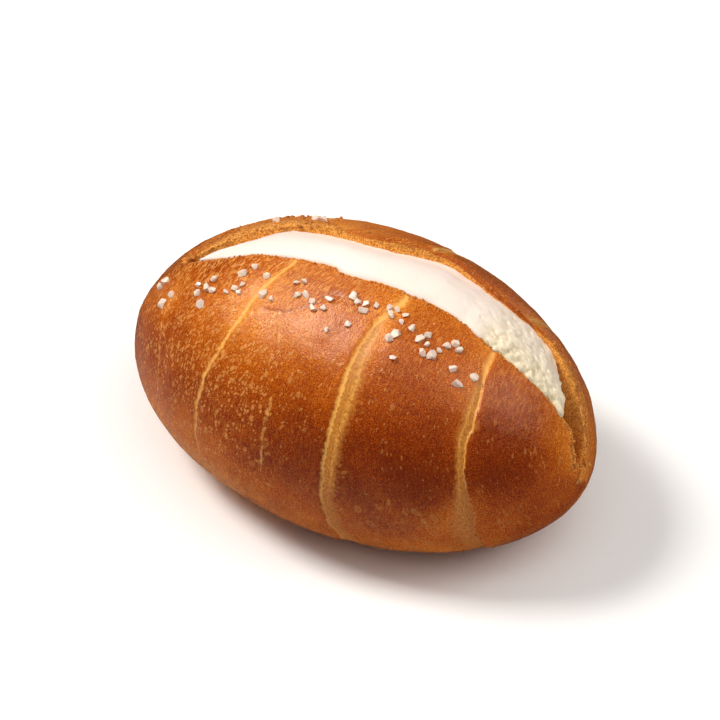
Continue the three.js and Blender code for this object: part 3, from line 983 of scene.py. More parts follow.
    def stretch(
        self, tree: NodeTree, place: Socket, dough: Socket, fray: Socket, own: dict[str, Socket]
    ) -> tuple[Socket, Socket]:
        """Colours the bands of stretched dough: bright by the sharp edge, then grainy, and duller low down.

        Args:
            tree: the material's tree.
            place: place in the roll.
            dough: place on the crust in millimetres.
            fray: unevenness of a band's edge.
            own: the roll's own values.

        Returns:
            A mask of the bands, and their colour.
        """
        frayed = {0: fray, 1: 1.2, 2: own["band"]}
        within = add(tree, "ShaderNodeMath", frayed, operation="MULTIPLY_ADD").outputs[0]
        edge = {0: within, 1: -0.3, 2: 0.5}
        inside = add(tree, "ShaderNodeMapRange", edge, interpolation_type="SMOOTHSTEP").outputs[0]
        across = {0: fray, 1: 0.4, 2: own["across"]}
        past = add(tree, "ShaderNodeMath", across, operation="MULTIPLY_ADD").outputs[0]
        beside = {0: past, 1: 0.13, 2: 0.24}
        dull = add(tree, "ShaderNodeMapRange", beside, interpolation_type="SMOOTHSTEP").outputs[0]
        tall = add(tree, "ShaderNodeSeparateXYZ", {0: place}).outputs[2]
        high, foot = self.low_band_mm
        low = add(tree, "ShaderNodeMapRange", {0: tall, 1: high * MM, 2: foot * MM}).outputs[0]
        longer = {0: dough, 1: (1.0, self.split_share, 1.0)}
        drawn = add(tree, "ShaderNodeVectorMath", longer, operation="MULTIPLY").outputs[0]
        cracks = {"Vector": drawn, "Scale": 1 / self.split_mm, "Detail": 6.0, "Roughness": 0.7}
        split = add(tree, "ShaderNodeTexNoise", cracks).outputs[0]
        split = add(tree, "ShaderNodeMapRange", {0: split, 1: 0.36, 2: 0.62}).outputs[0]
        sides = []
        for upper, lower in ((self.cracked, self.cracked_low), (self.stretched, self.stretched_low)):
            shade = {0: low, 6: linear(upper), 7: linear(lower)}
            sides.append(add(tree, "ShaderNodeMix", shade, data_type="RGBA").outputs[2])
        grainy = add(tree, "ShaderNodeMix", {0: split, 6: sides[0], 7: sides[1]}, data_type="RGBA").outputs[2]

        line = add(tree, "ShaderNodeMapRange", {0: past, 1: 0.5, 2: 0.64, 3: 0.0, 4: 0.8}).outputs[0]
        beyond = add(tree, "ShaderNodeMapRange", {0: past, 1: 0.88, 2: 0.72}).outputs[0]
        for mask in (beyond, split):
            line = add(tree, "ShaderNodeMath", {0: line, 1: mask}, operation="MULTIPLY").outputs[0]
        line = add(tree, "ShaderNodeMapRange", {0: low, 1: 0.0, 2: 0.8, 3: line, 4: 0.0}).outputs[0]
        rim = linear(self.rim)
        grainy = add(tree, "ShaderNodeMix", {0: line, 6: grainy, 7: rim}, data_type="RGBA").outputs[2]
        duller = {0: low, 1: 0.6, 2: dull}
        dull = add(tree, "ShaderNodeMath", duller, operation="MULTIPLY_ADD", use_clamp=True).outputs[0]
        colour = add(tree, "ShaderNodeMix", {0: dull, 6: rim, 7: grainy}, data_type="RGBA").outputs[2]
        return inside, colour

    def bared(self, tree: NodeTree, place: Socket, fray: Socket, tear: Socket) -> Socket:
        """Colours the bared crumb: browned by the skin's edge, golden further in, and full of pores.

        Args:
            tree: the material's tree.
            place: place in the roll.
            fray: unevenness of the skin's edge.
            tear: how deep in the tear the crumb lies, from 0 by the skin.

        Returns:
            The crumb's colour.
        """
        holes = {"Vector": place, "Scale": 1 / (self.pore_mm * MM), "Detail": 5.0, "Roughness": 0.7}
        pores = add(tree, "ShaderNodeTexNoise", holes).outputs[0]
        porous = add(tree, "ShaderNodeMapRange", {0: pores, 1: 0.43, 2: 0.58}).outputs[0]
        # Painted shade: each tone runs from a shade colour in the pores to a lit colour.
        tones = []
        for shade, lit in ((self.crust_edge_shade, self.crust_edge), (self.crumb_shade, self.crumb)):
            mixed = {0: porous, 6: linear(shade), 7: linear(lit)}
            tones.append(add(tree, "ShaderNodeMix", mixed, data_type="RGBA").outputs[2])
        deep = add(tree, "ShaderNodeMath", {0: fray, 1: 0.5, 2: tear}, operation="MULTIPLY_ADD").outputs[0]
        deep = add(tree, "ShaderNodeMapRange", {0: deep, 1: 0.55, 2: 1.0}).outputs[0]
        return add(tree, "ShaderNodeMix", {0: deep, 6: tones[0], 7: tones[1]}, data_type="RGBA").outputs[2]


@dataclass(frozen=True)
class CreamFinish:
    """Whipped cream: soft, off-white and faintly translucent, with a moist sheen."""

    # The lit tone is the cream in light; the two darker tones are painted shade over its lumps and in its
    # crevices.
    lit: str = "#f1e2d9"
    curds_and_shade: str = "#e9dabc"
    hollow: str = "#c9b684"
    roughness: float = 0.5
    subsurface: float = 0.25
    glow_radius: tuple[float, float, float] = (1.0, 0.8, 0.55)
    glow_mm: float = 2.0
    grain_mm: float = 0.7
    bump_strength: float = 0.8
    bump_mm: float = 0.15

    def material(self) -> Material:
        """Builds the cream material.

        Returns:
            The material.
        """
        material, tree, shader = new_material("whipped_cream")
        shader.inputs["Roughness"].default_value = self.roughness
        shader.inputs["Subsurface Weight"].default_value = self.subsurface
        shader.inputs["Subsurface Radius"].default_value = self.glow_radius
        shader.inputs["Subsurface Scale"].default_value = self.glow_mm * MM
        place = add(tree, "ShaderNodeTexCoord").outputs["Object"]
        curd = add(tree, "ShaderNodeAttribute", attribute_name="curd").outputs["Fac"]
        dips = add(tree, "ShaderNodeAttribute", attribute_name="crevice").outputs["Fac"]
        # Painted shade: the cream greys where it is lumpy and darkens further in its crevices.
        tones = {0: curd, 6: linear(self.lit), 7: linear(self.curds_and_shade)}
        tone = add(tree, "ShaderNodeMix", tones, data_type="RGBA").outputs[2]
        tones = {0: dips, 6: tone, 7: linear(self.hollow)}
        colour = add(tree, "ShaderNodeMix", tones, data_type="RGBA").outputs[2]
        tree.links.new(colour, shader.inputs["Base Color"])
        fine = {"Vector": place, "Scale": 1 / (self.grain_mm * MM), "Detail": 2.0}
        grain = add(tree, "ShaderNodeTexNoise", fine).outputs[0]
        height = add(tree, "ShaderNodeMath", {0: grain, 1: curd}, operation="MULTIPLY").outputs[0]
        relief = {"Strength": self.bump_strength, "Distance": self.bump_mm * MM, "Height": height}
        tree.links.new(add(tree, "ShaderNodeBump", relief).outputs[0], shader.inputs["Normal"])
        return material


@dataclass(frozen=True)
class SaltFinish:
    """Coarse rock salt: cloudy white crystals with broken, slightly glossy faces."""

    clear: str = "#f0e0d2"
    cloudy: str = "#dcc3af"
    roughness: float = 0.32
    ior: float = 1.54
    subsurface: float = 0.3
    glow_mm: float = 0.8
    cloud_mm: float = 1.2

    def material(self) -> Material:
        """Builds the salt material.

        Returns:
            The material.
        """
        material, tree, shader = new_material("rock_salt")
        shader.inputs["Roughness"].default_value = self.roughness
        shader.inputs["IOR"].default_value = self.ior
        shader.inputs["Subsurface Weight"].default_value = self.subsurface
        shader.inputs["Subsurface Scale"].default_value = self.glow_mm * MM
        place = add(tree, "ShaderNodeTexCoord").outputs["Object"]
        clouds = {"Vector": place, "Scale": 1 / (self.cloud_mm * MM), "Detail": 2.0}
        cloud = add(tree, "ShaderNodeTexNoise", clouds).outputs[0]
        tones = {0: cloud, 6: linear(self.cloudy), 7: linear(self.clear)}
        colour = add(tree, "ShaderNodeMix", tones, data_type="RGBA").outputs[2]
        tree.links.new(colour, shader.inputs["Base Color"])
        return material


@dataclass(frozen=True)
class CrumbFinish:
    """Loose crumbs of torn bread: dry and golden, browner where crust clings to them."""

    golden: str = "#dc8c34"
    browned: str = "#98500e"
    roughness: float = 0.8
    patch_mm: float = 1.5

    def material(self) -> Material:
        """Builds the crumb material.

        Returns:
            The material.
        """
        material, tree, shader = new_material("bread_crumbs")
        shader.inputs["Roughness"].default_value = self.roughness
        place = add(tree, "ShaderNodeTexCoord").outputs["Object"]
        patches = {"Vector": place, "Scale": 1 / (self.patch_mm * MM), "Detail": 3.0}
        patch = add(tree, "ShaderNodeTexNoise", patches).outputs[0]
        share = add(tree, "ShaderNodeMapRange", {0: patch, 1: 0.35, 2: 0.65}).outputs[0]
        tones = {0: share, 6: linear(self.browned), 7: linear(self.golden)}
        colour = add(tree, "ShaderNodeMix", tones, data_type="RGBA").outputs[2]
        tree.links.new(colour, shader.inputs["Base Color"])
        return material


@dataclass
class BreadRoll:
    """The slit roll: crust, bands, torn lips and the crumb walls of the slit, as one closed mesh."""

    slit: Slit
    finish: CrustFinish = field(default_factory=CrustFinish)
    stations: int = 336
    near_points: int = 166
    base_points: int = 22
    far_points: int = 58
    wall_points: int = 22
    wall_crowding: float = 1.7
    base_from: float = 215.0
    base_to: float = 325.0
    dough_line: float = 135.0
    blister_height: float = 0.06
    pebble_height: float = 0.035
    pebble_size: float = 1.7
    swell_height: float = 0.14
    swell_size: float = 10.0
    pore_depth: float = 0.12
    pore_sizes: tuple[float, float] = (1.6, 3.5)
    flat_below: float = 0.3
    relief_above: float = 3.0
    sharp_degrees: float = 70.0

    def far_margin(self, x: Array) -> Array:
        """Finds how wide the torn crumb is that shows beyond the far lip.

        Args:
            x: places along the roll.

        Returns:
            Its widths.
        """
        places = (-50, -42, -30, -24, -18, -12, 14, 36, 41, 46, 52, 60)
        widths = (9.0, 16.0, 18.0, 14.0, 5.0, 0.4, 0.4, 0.2, 0.6, 1.8, 4.0, 5.5)
        return np.interp(x, places, widths)

    def far_wrap(self, x: Array) -> Array:
        """How far the skin turns down into the slit over the far lip."""
        return np.interp(x, (-18, -11, 42, 47), (0.0, 1.3, 1.5, 0.0))

    def near_margin(self, x: Array) -> Array:
        """Width of the torn rim that shows along the near lip."""
        return np.interp(x, (-50, -20, 40, 53, 58, 61), (0.5, 0.4, 0.35, 0.5, 1.2, 1.8))

    def bake(self, crown: Array, angle: Array) -> Array:
        """Finds how brown the crust is: by the angle, by the turn of dough, and by small patches.

        Args:
            crown: places along the roll.
            angle: degrees round the roll from +Y over the crown.

        Returns:
            From 0, golden, to 1, dark.
        """
        turn = angle % 360
        round_it = (0, 35, 62, 90, 97, 104, 122, 136, 145, 158, 168, 178, 190, 205, 235, 300, 360)
        profiles = (
            (0.5, 0.46, 0.44, 0.42, 0.42, 0.4, 0.46, 0.64, 0.76, 0.9, 0.86, 0.66, 0.46, 0.36, 0.4, 0.5, 0.5),
            (0.5, 0.55, 0.55, 0.48, 0.54, 0.6, 0.74, 0.86, 0.96, 1.0, 0.94, 0.78, 0.6, 0.45, 0.4, 0.5, 0.5),
            (0.5, 0.46, 0.5, 0.52, 0.66, 0.72, 0.96, 1.0, 0.98, 0.88, 0.85, 0.85, 0.85, 0.7, 0.5, 0.5, 0.5),
        )
        left, middle, right = (np.interp(turn, round_it, profile) for profile in profiles)
        browned = left + (middle - left) * smoothstep(6, 15, crown)
        browned += (right - browned) * smoothstep(35, 44, crown)
        along_it = (-62, -50, -36, -24, -16, -5, 2, 10, 40, 54, 62)
        drift = (-0.04, 0.02, 0.02, -0.06, -0.12, 0.0, 0.06, 0.0, 0.0, 0.0, -0.05)
        browned += np.interp(crown, along_it, drift)
        # Browner by the near lip at the left, and about the fold under the salt.
        browned += 0.12 * smoothstep(-28, -40, crown) * bell(turn - 108, 22)
        browned += 0.24 * smoothstep(-14, -38, crown) * bell(turn - 94, 14)
        browned += 0.12 * bell(crown + 5, 12) * bell(turn - 110, 12)
        browned += 0.16 * bell(crown + 12, 11) * smoothstep(112, 100, turn) * smoothstep(70, 86, turn)
        # Paler low down at both ends, most at the right tip.
        browned -= 0.09 * bell(crown - 36, 16) * bell(turn - 175, 12)
        browned -= 0.2 * smoothstep(-12, -30, crown) * smoothstep(150, 172, turn) * smoothstep(345, 270, turn)
        browned -= 0.45 * smoothstep(50, 61, crown) * bell(turn - 118, 46)
        browned -= 0.1 * smoothstep(-30, -38, crown) * bell(turn - 156, 14)
        # Painted shade along the fold under the salt, golden beside the bands, and paler low down on the
        # right.
        browned += 0.42 * bell(self.slit.roll.fold(crown, angle), 0.4)
        band = self.slit.roll.band(crown, angle)[0]
        golden = 0.2 * np.exp(np.minimum(0, band) / 1.6) * smoothstep(165, 120, turn)
        golden += 0.25 * bell(crown - 12.4, 2.6) * bell(turn - 107, 12)
        # Paler low down on the right.
        paler_low_right = 0.3 * bell(crown - 44, 8) * smoothstep(150, 172, turn) * smoothstep(230, 205, turn)
        return browned - golden - paler_low_right

    def dry(self, crown: Array, angle: Array) -> Array:
        """How dull the skin is: most above the fold under the salt."""
        above = smoothstep(0.4, -0.4, self.slit.roll.fold(crown, angle))
        return above * smoothstep(-23, -18, crown) * smoothstep(8, 0, crown)

    def rubbed(self, crown: Array, angle: Array) -> Array:
        """Finds how far the tray rubbed the skin: low on the near side, most at the right.

        Args:
            crown: places along the roll.
            angle: degrees round the roll from +Y over the crown.

        Returns:
            From 0 to 1, fully rubbed.
        """
        turn = angle % 360
        along = np.interp(crown, (-40, 0, 14, 24, 55, 64), (0.2, 0.3, 0.6, 1.0, 0.9, 0.3))
        return along * smoothstep(158, 176, turn) * smoothstep(320, 290, turn)

    def specks(self, crown: Array, angle: Array) -> Array:
        """Finds how thickly the crust is blistered: most on the left turns, little on the right.

        Args:
            crown: places along the roll.
            angle: degrees round the roll from +Y over the crown.

        Returns:
            Shares of the places that hold a blister.
        """
        places = (-62, -50, -40, -25, -12, -4, 5, 30, 62)
        along = np.interp(crown, places, (0.5, 0.8, 1.0, 1.0, 0.8, 0.4, 0.14, 0.08, 0.1))
        turned = (60, 90, 104, 118, 148, 162, 200, 230, 300, 360)
        return along * np.interp(angle % 360, turned, (1.0, 0.4, 0.55, 0.95, 0.95, 0.4, 0.3, 0.4, 0.4, 0.3))

    def streaks(self, crown: Array, angle: Array) -> Array:
        """How strongly the skin is streaked along its winding: most by the near lip of the left turns."""
        along = np.interp(crown, (-62, -48, -10, 14, 30, 62), (0.4, 1.0, 0.9, 0.5, 0.3, 0.3))
        return along * np.interp(angle % 360, (70, 88, 104, 118, 140, 360), (0.3, 1.0, 0.9, 0.3, 0.15, 0.15))

    def rings(self) -> tuple[Array, dict[str, Array]]:
        """Works out the roll's rings, from the left tip to the right one.

        Returns:
            The rings' points, and the values that the finish reads at them.
        """
        slit = self.slit
        half = slit.roll.length / 2
        crown = -half * np.cos(np.linspace(0, math.pi, self.stations)[1:-1])
        near, far = slit.lip_angle(crown, slit.near), slit.lip_angle(crown, slit.far)
        share = np.linspace(0, 1, self.near_points, endpoint=False)
        side = near[:, None] + (self.base_from - near[:, None]) * share
        base = np.linspace(self.base_from, self.base_to, self.base_points, endpoint=False)
        base = np.broadcast_to(base, (len(crown), self.base_points))
        back = self.base_to + (360 + far[:, None] - self.base_to) * np.linspace(0, 1, self.far_points)
        angle = np.concatenate([side, base, back], 1)
        outer = slit.crust_point(crown[:, None] + np.zeros_like(angle), angle)
        steps = np.cumsum(np.linalg.norm(np.diff(outer, axis=1), axis=2), 1)
        arc = np.concatenate([np.zeros((len(crown), 1)), steps], 1)

        near_lip, far_lip = outer[:, 0], outer[:, -1]
        near_x, far_x = near_lip[:, 0], far_lip[:, 0]
        root = near_lip + (far_lip - near_lip) * slit.root_share
        root[:, 2] = np.minimum(near_lip[:, 2], far_lip[:, 2]) - slit.depth_at(near_x)
        down = (np.arange(1, self.wall_points + 1) / self.wall_points) ** self.wall_crowding
        far_wall = far_lip[:, None] + (root - far_lip)[:, None] * down[None, :, None]
        near_wall = near_lip[:, None] + (root - near_lip)[:, None] * down[None, -2::-1, None]
        points = np.concatenate([outer, far_wall, near_wall], 1)

        margin = self.far_margin(far_x)[:, None] * np.minimum(1, 3 * slit.open_share(far_x))[:, None]
        near_rim = self.near_margin(near_x)[:, None]
        closed = 1.5 * (1 - np.minimum(1, 14 * slit.open_share(near_x)))[:, None]
        wrap = self.far_wrap(far_x)[:, None]
        near_skin = arc - near_rim + closed
        far_skin = arc[:, -1:] - arc - margin + wrap + closed
        crust = np.minimum(near_skin, far_skin)
        bared = np.clip(-np.minimum(near_skin / near_rim, far_skin / np.maximum(margin, 0.1)), 0, 1)
        far_crumb = closed + wrap - margin - np.linalg.norm(far_wall - far_lip[:, None], axis=2)
        near_crumb = closed - near_rim - np.linalg.norm(near_wall - near_lip[:, None], axis=2)
        walls = far_wall.shape[1] + near_wall.shape[1]
        blank = np.zeros((len(crown), walls))
        wall_bake = np.interp(far_x, (10, 20), (0.36, 0.55))[:, None]
        line = slit.crust_point(crown, np.full_like(crown, self.dough_line))
        run = np.concatenate([[0], np.cumsum(np.linalg.norm(np.diff(line, axis=0), axis=1))])
        dough = np.stack([run[:, None] + np.zeros_like(arc), arc, np.zeros_like(arc)], -1)
        band, across = slit.roll.band(outer[..., 0], angle)
        values = {
            "dough": np.concatenate([dough, np.zeros((len(crown), walls, 3))], 1),
            "bake": np.concatenate([self.bake(outer[..., 0], angle), wall_bake + blank], 1),
            "band": np.concatenate([band, blank - 4], 1),
            "across": np.concatenate([across, blank], 1),
        }
        shares = {"streaks": self.streaks, "dry": self.dry, "rubbed": self.rubbed, "specks": self.specks}
        for name, share_at in shares.items():
            values[name] = np.concatenate([share_at(outer[..., 0], angle), blank], 1)
        values["crust"] = np.concatenate([crust, far_crumb, near_crumb], 1)
        torn = [bared, 1 - (far_crumb + margin) / 10, 1 - (near_crumb + near_rim) / 10]
        values["tear"] = np.concatenate(torn, 1)
        return points, values

    def relief_tree(self, values: dict[str, Any]) -> NodeTree:
        """Builds the tree that raises blisters and swells on the crust and sinks pores into the crumb.

        Args:
            values: a value for each of its named inputs.

        Returns:
            The tree.
        """
        tree, given = new_tree("crust_relief", values)
        dough, specks, crust = (
            add(tree, "GeometryNodeInputNamedAttribute", {"Name": name}, data_type=kind).outputs[0]
            for name, kind in (("dough", "FLOAT_VECTOR"), ("specks", "FLOAT"), ("crust", "FLOAT"))
        )
        skin = add(tree, "ShaderNodeMapRange", {0: crust, 1: -0.2, 2: 0.6}).outputs[0]
        crumb = add(tree, "ShaderNodeMath", {0: 1.0, 1: skin}, operation="SUBTRACT").outputs[0]
        place = add(tree, "GeometryNodeInputPosition").outputs[0]
        tall = add(tree, "ShaderNodeSeparateXYZ", {0: place}).outputs[2]
        clear = {0: tall, 1: self.flat_below * MM, 2: self.relief_above * MM, 3: 0.0, 4: MM}
        scale = add(tree, "ShaderNodeMapRange", clear).outputs[0]
        own = given.outputs
        layers = [(self.finish.blisters.pattern(tree, dough, specks), own["Blister Height"], skin)]
        lumps = (
            (self.pebble_size, own["Pebble Height"], skin),
            (self.swell_size, own["Swell Height"], skin),
            (self.pore_sizes[0], own["Pore Depth"], crumb),
            (self.pore_sizes[1], own["Pore Depth"], crumb),
        )
        raised(tree, given, own["Geometry"], layers, lumps, scale)
        return tree

    def build(self) -> Object:
        """Builds and dresses the roll.

        Returns:
            The piece.
        """
        points, shares = self.rings()
        half, waist = self.slit.roll.length / 2, self.slit.roll.waist
        plain = lofted("roll_skin", points, np.array([-half, 0, waist]), np.array([half, 0, waist]), shares)
        values = {
            "Blister Height": self.blister_height,
            "Pebble Height": self.pebble_height,
            "Swell Height": self.swell_height,
            "Pore Depth": self.pore_depth,
            "Finish": self.finish.material(),
        }
        mesh = grown("bread_roll", plain, self.relief_tree(values), values)
        mesh.set_sharp_from_angle(angle=math.radians(self.sharp_degrees))
        return piece("bread_roll", mesh, "crust", "bread")


@dataclass
class CreamFilling:
    """The cream in the slit: smooth at the left, lumpy at the right, where it ends in a blunt tongue."""

    slit: Slit
    finish: CreamFinish = field(default_factory=CreamFinish)
    left: float = -43.8
    right: float = 54.2
    leaves_wall: float = 45.0
    end_bluntness: float = 0.4
    end_width: float = 1.2
    left_taper: float = 9.0
    left_bluntness: float = 0.8
    into_wall: float = 0.25
    below_root: float = 0.3
    lip_blur: float = 2.5
    near_rise: float = 0.5
    near_tuck: float = 0.9
    tuck_steepness: float = 18.0
    slope_from: float = 0.3
    dome: float = 1.1
    stations: int = 300
    top_points: int = 84
    side_points: int = 8
    lump_height: float = 0.3
    lump_size: float = 8.0
    curd_height: float = 0.6
    curd_size: float = 2.8
    grain_height: float = 0.16
    grain_size: float = 1.1
    pit_depth: float = 0.35
    pit_spacing: float = 2.4

    def far_drop(self, x: Array) -> Array:
        """Finds how far below the far lip the cream meets the wall.

        Args:
            x: places along the roll.

        Returns:
            Its drops.
        """
        places = (-43, -38, -33, -30, -26, -22, -14, -2, 2, 9, 16, 20, 24, 36, 42, 48, 56)
        drops = (3.7, 3.0, 2.0, 1.5, 1.3, 2.0, 2.5, 2.8, 3.4, 3.3, 2.6, 2.6, 2.0, 1.7, 2.0, 2.5, 3.0)
        return np.interp(x, places, drops)

    def rings(self) -> tuple[Array, dict[str, Array]]:
        """Works out the cream's rings, from its left end to its right one.

        Returns:
            The rings' points, and the values that the finish reads at them.
        """
        slit, roll = self.slit, self.slit.roll
        x = np.linspace(self.left, self.right, self.stations)
        near = np.mean([slit.near(x + shift) for shift in np.linspace(-self.lip_blur, self.lip_blur, 11)], 0)
        far = slit.far(x)
        near_z = roll.height(x, near)
        far_z = roll.height(x, far) + slit.far_lift(x, far)
        root_y = near + (far - near) * slit.root_share
        depth = slit.depth_at(x) + self.below_root
        root_z = near_z - depth
        free = np.clip((self.right - x) / (self.right - self.leaves_wall), 0, 1) ** self.end_bluntness
        reach = np.maximum(free, np.minimum(1, self.end_width / np.maximum(0.1, far - near)))
        reach = reach * np.clip((x - self.left) / self.left_taper, 0.05, 1) ** self.left_bluntness
        opening = slit.open_share(x)[:, None]
        spread_open = np.minimum(1, opening * 4)

        def at(share: Array, height: Array) -> Array:
            """Finds points of the cream.

            Args:
                share: how far they lie from the near lip to the far one.
                height: how far they lie from the root up to the lips.

            Returns:
                Points in millimetres, ring by ring.
            """
            across = share * reach[:, None]
            high_y = near[:, None] + (far - near)[:, None] * across
            high_z = near_z[:, None] + (far_z - near_z)[:, None] * across
            y = root_y[:, None] + (high_y - root_y[:, None]) * height
            z = root_z[:, None] + (high_z - root_z[:, None]) * height
            spread = self.into_wall * (2 * share - 1) * spread_open
            return np.stack([x[:, None] + 0 * y, y + spread, z], -1)

        share = np.linspace(0, 1, self.top_points)[None]
        fall = smoothstep(self.slope_from, 1, share * reach[:, None])
        rise = self.near_rise - (self.near_rise + self.far_drop(x)[:, None]) * fall
        rise = rise - self.near_tuck * np.exp(-share * self.tuck_steepness)
        rise = rise + self.dome * opening * 4 * share * (1 - share)
        top = 1 + rise * spread_open / depth[:, None]
        ridge = at(share, top)
        down = np.linspace(1, 0, self.side_points + 1)[1:][None]
        far_side = at(np.ones((1, self.side_points)), top[:, -1:] * down)
        near_side = at(np.zeros((1, self.side_points - 1)), top[:, :1] * down[:, -2::-1])
        points = np.concatenate([ridge, far_side, near_side], 1)
        lumpy = np.broadcast_to(smoothstep(8, 34, x)[:, None], points.shape[:2])
        near_it = bell(points[..., 1] - near[:, None], 7.0)
        right_of = smoothstep(27, 38, points[..., 0])
        tongue = 0.7 * smoothstep(46, 53, points[..., 0])
        # curd marks the lumpy cream for its relief, and also where the finish paints shade on it.
        curd = 0.1 * lumpy + right_of * np.maximum(0.35 + 0.55 * near_it, tongue)
        return points[:, ::-1], {"lumpy": lumpy[:, ::-1], "curd": curd[:, ::-1]}

    def relief_tree(self, values: dict[str, Any]) -> NodeTree:
        """Builds the tree that raises lumps and curds on the cream and sinks pits into it.

        Args:
            values: a value for each of its named inputs.

        Returns:
            The tree.
        """
        tree, given = new_tree("cream_relief", values)
        curd, lumpy = (
            add(tree, "GeometryNodeInputNamedAttribute", {"Name": name}, data_type="FLOAT").outputs[0]
            for name in ("curd", "lumpy")
        )
        lumpy = add(tree, "ShaderNodeMapRange", {0: lumpy, 3: 0.25, 4: 1.0}).outputs[0]
        place = add(tree, "GeometryNodeInputPosition").outputs[0]
        curds_and_shade = {"Vector": place, "Scale": 1 / (self.curd_size * MM), "Detail": 4.0, "Roughness": 0.62}
        rough = add(tree, "ShaderNodeTexNoise", curds_and_shade).outputs[0]
        ball = add(tree, "ShaderNodeMapRange", {0: rough, 1: 0.3, 2: 0.62, 3: -1.0, 4: 0.8}).outputs[0]
        # The crevices are stored as the mask where painted shade darkens the cream.
        crevice = add(tree, "ShaderNodeMapRange", {0: rough, 1: 0.45, 2: 0.34}).outputs[0]
        crevice = add(tree, "ShaderNodeMath", {0: crevice, 1: curd}, operation="MULTIPLY").outputs[0]
        holes = add(tree, "ShaderNodeTexVoronoi", {"Vector": place, "Scale": 1 / (self.pit_spacing * MM)})
        drawn = add(tree, "ShaderNodeSeparateXYZ", {0: holes.outputs["Color"]}).outputs[0]
        deep = add(tree, "ShaderNodeMath", {0: drawn, 1: 0.4}, operation="LESS_THAN").outputs[0]
        hole = {0: holes.outputs["Distance"], 1: 0.22, 2: 0.08, 4: -1.0}
        hole = add(tree, "ShaderNodeMapRange", hole).outputs[0]
        hole = add(tree, "ShaderNodeMath", {0: hole, 1: deep}, operation="MULTIPLY").outputs[0]
        own = given.outputs
        mark = {"Geometry": own["Geometry"], "Name": "crevice", "Value": crevice}
        stored = add(tree, "GeometryNodeStoreNamedAttribute", mark, data_type="FLOAT", domain="POINT")
        layers = [(ball, own["Curd Height"], curd), (hole, own["Pit Depth"], lumpy)]
        lumps = ((self.lump_size, own["Lump Height"], lumpy), (self.grain_size, own["Grain Height"], curd))
        raised(tree, given, stored.outputs[0], layers, lumps, MM)
        return tree

    def build(self) -> Object:
        """Builds and dresses the cream.

        Returns:
            The piece.
        """
        points, shares = self.rings()
        plain = lofted("cream_skin", points, points[0].mean(0), points[-1].mean(0), shares)
        values = {
            "Lump Height": self.lump_height,
            "Curd Height": self.curd_height,
            "Grain Height": self.grain_height,
            "Pit Depth": self.pit_depth,
            "Finish": self.finish.material(),
        }
        mesh = grown("cream_filling", plain, self.relief_tree(values), values)
        return piece("cream_filling", mesh, "cream", "cream")


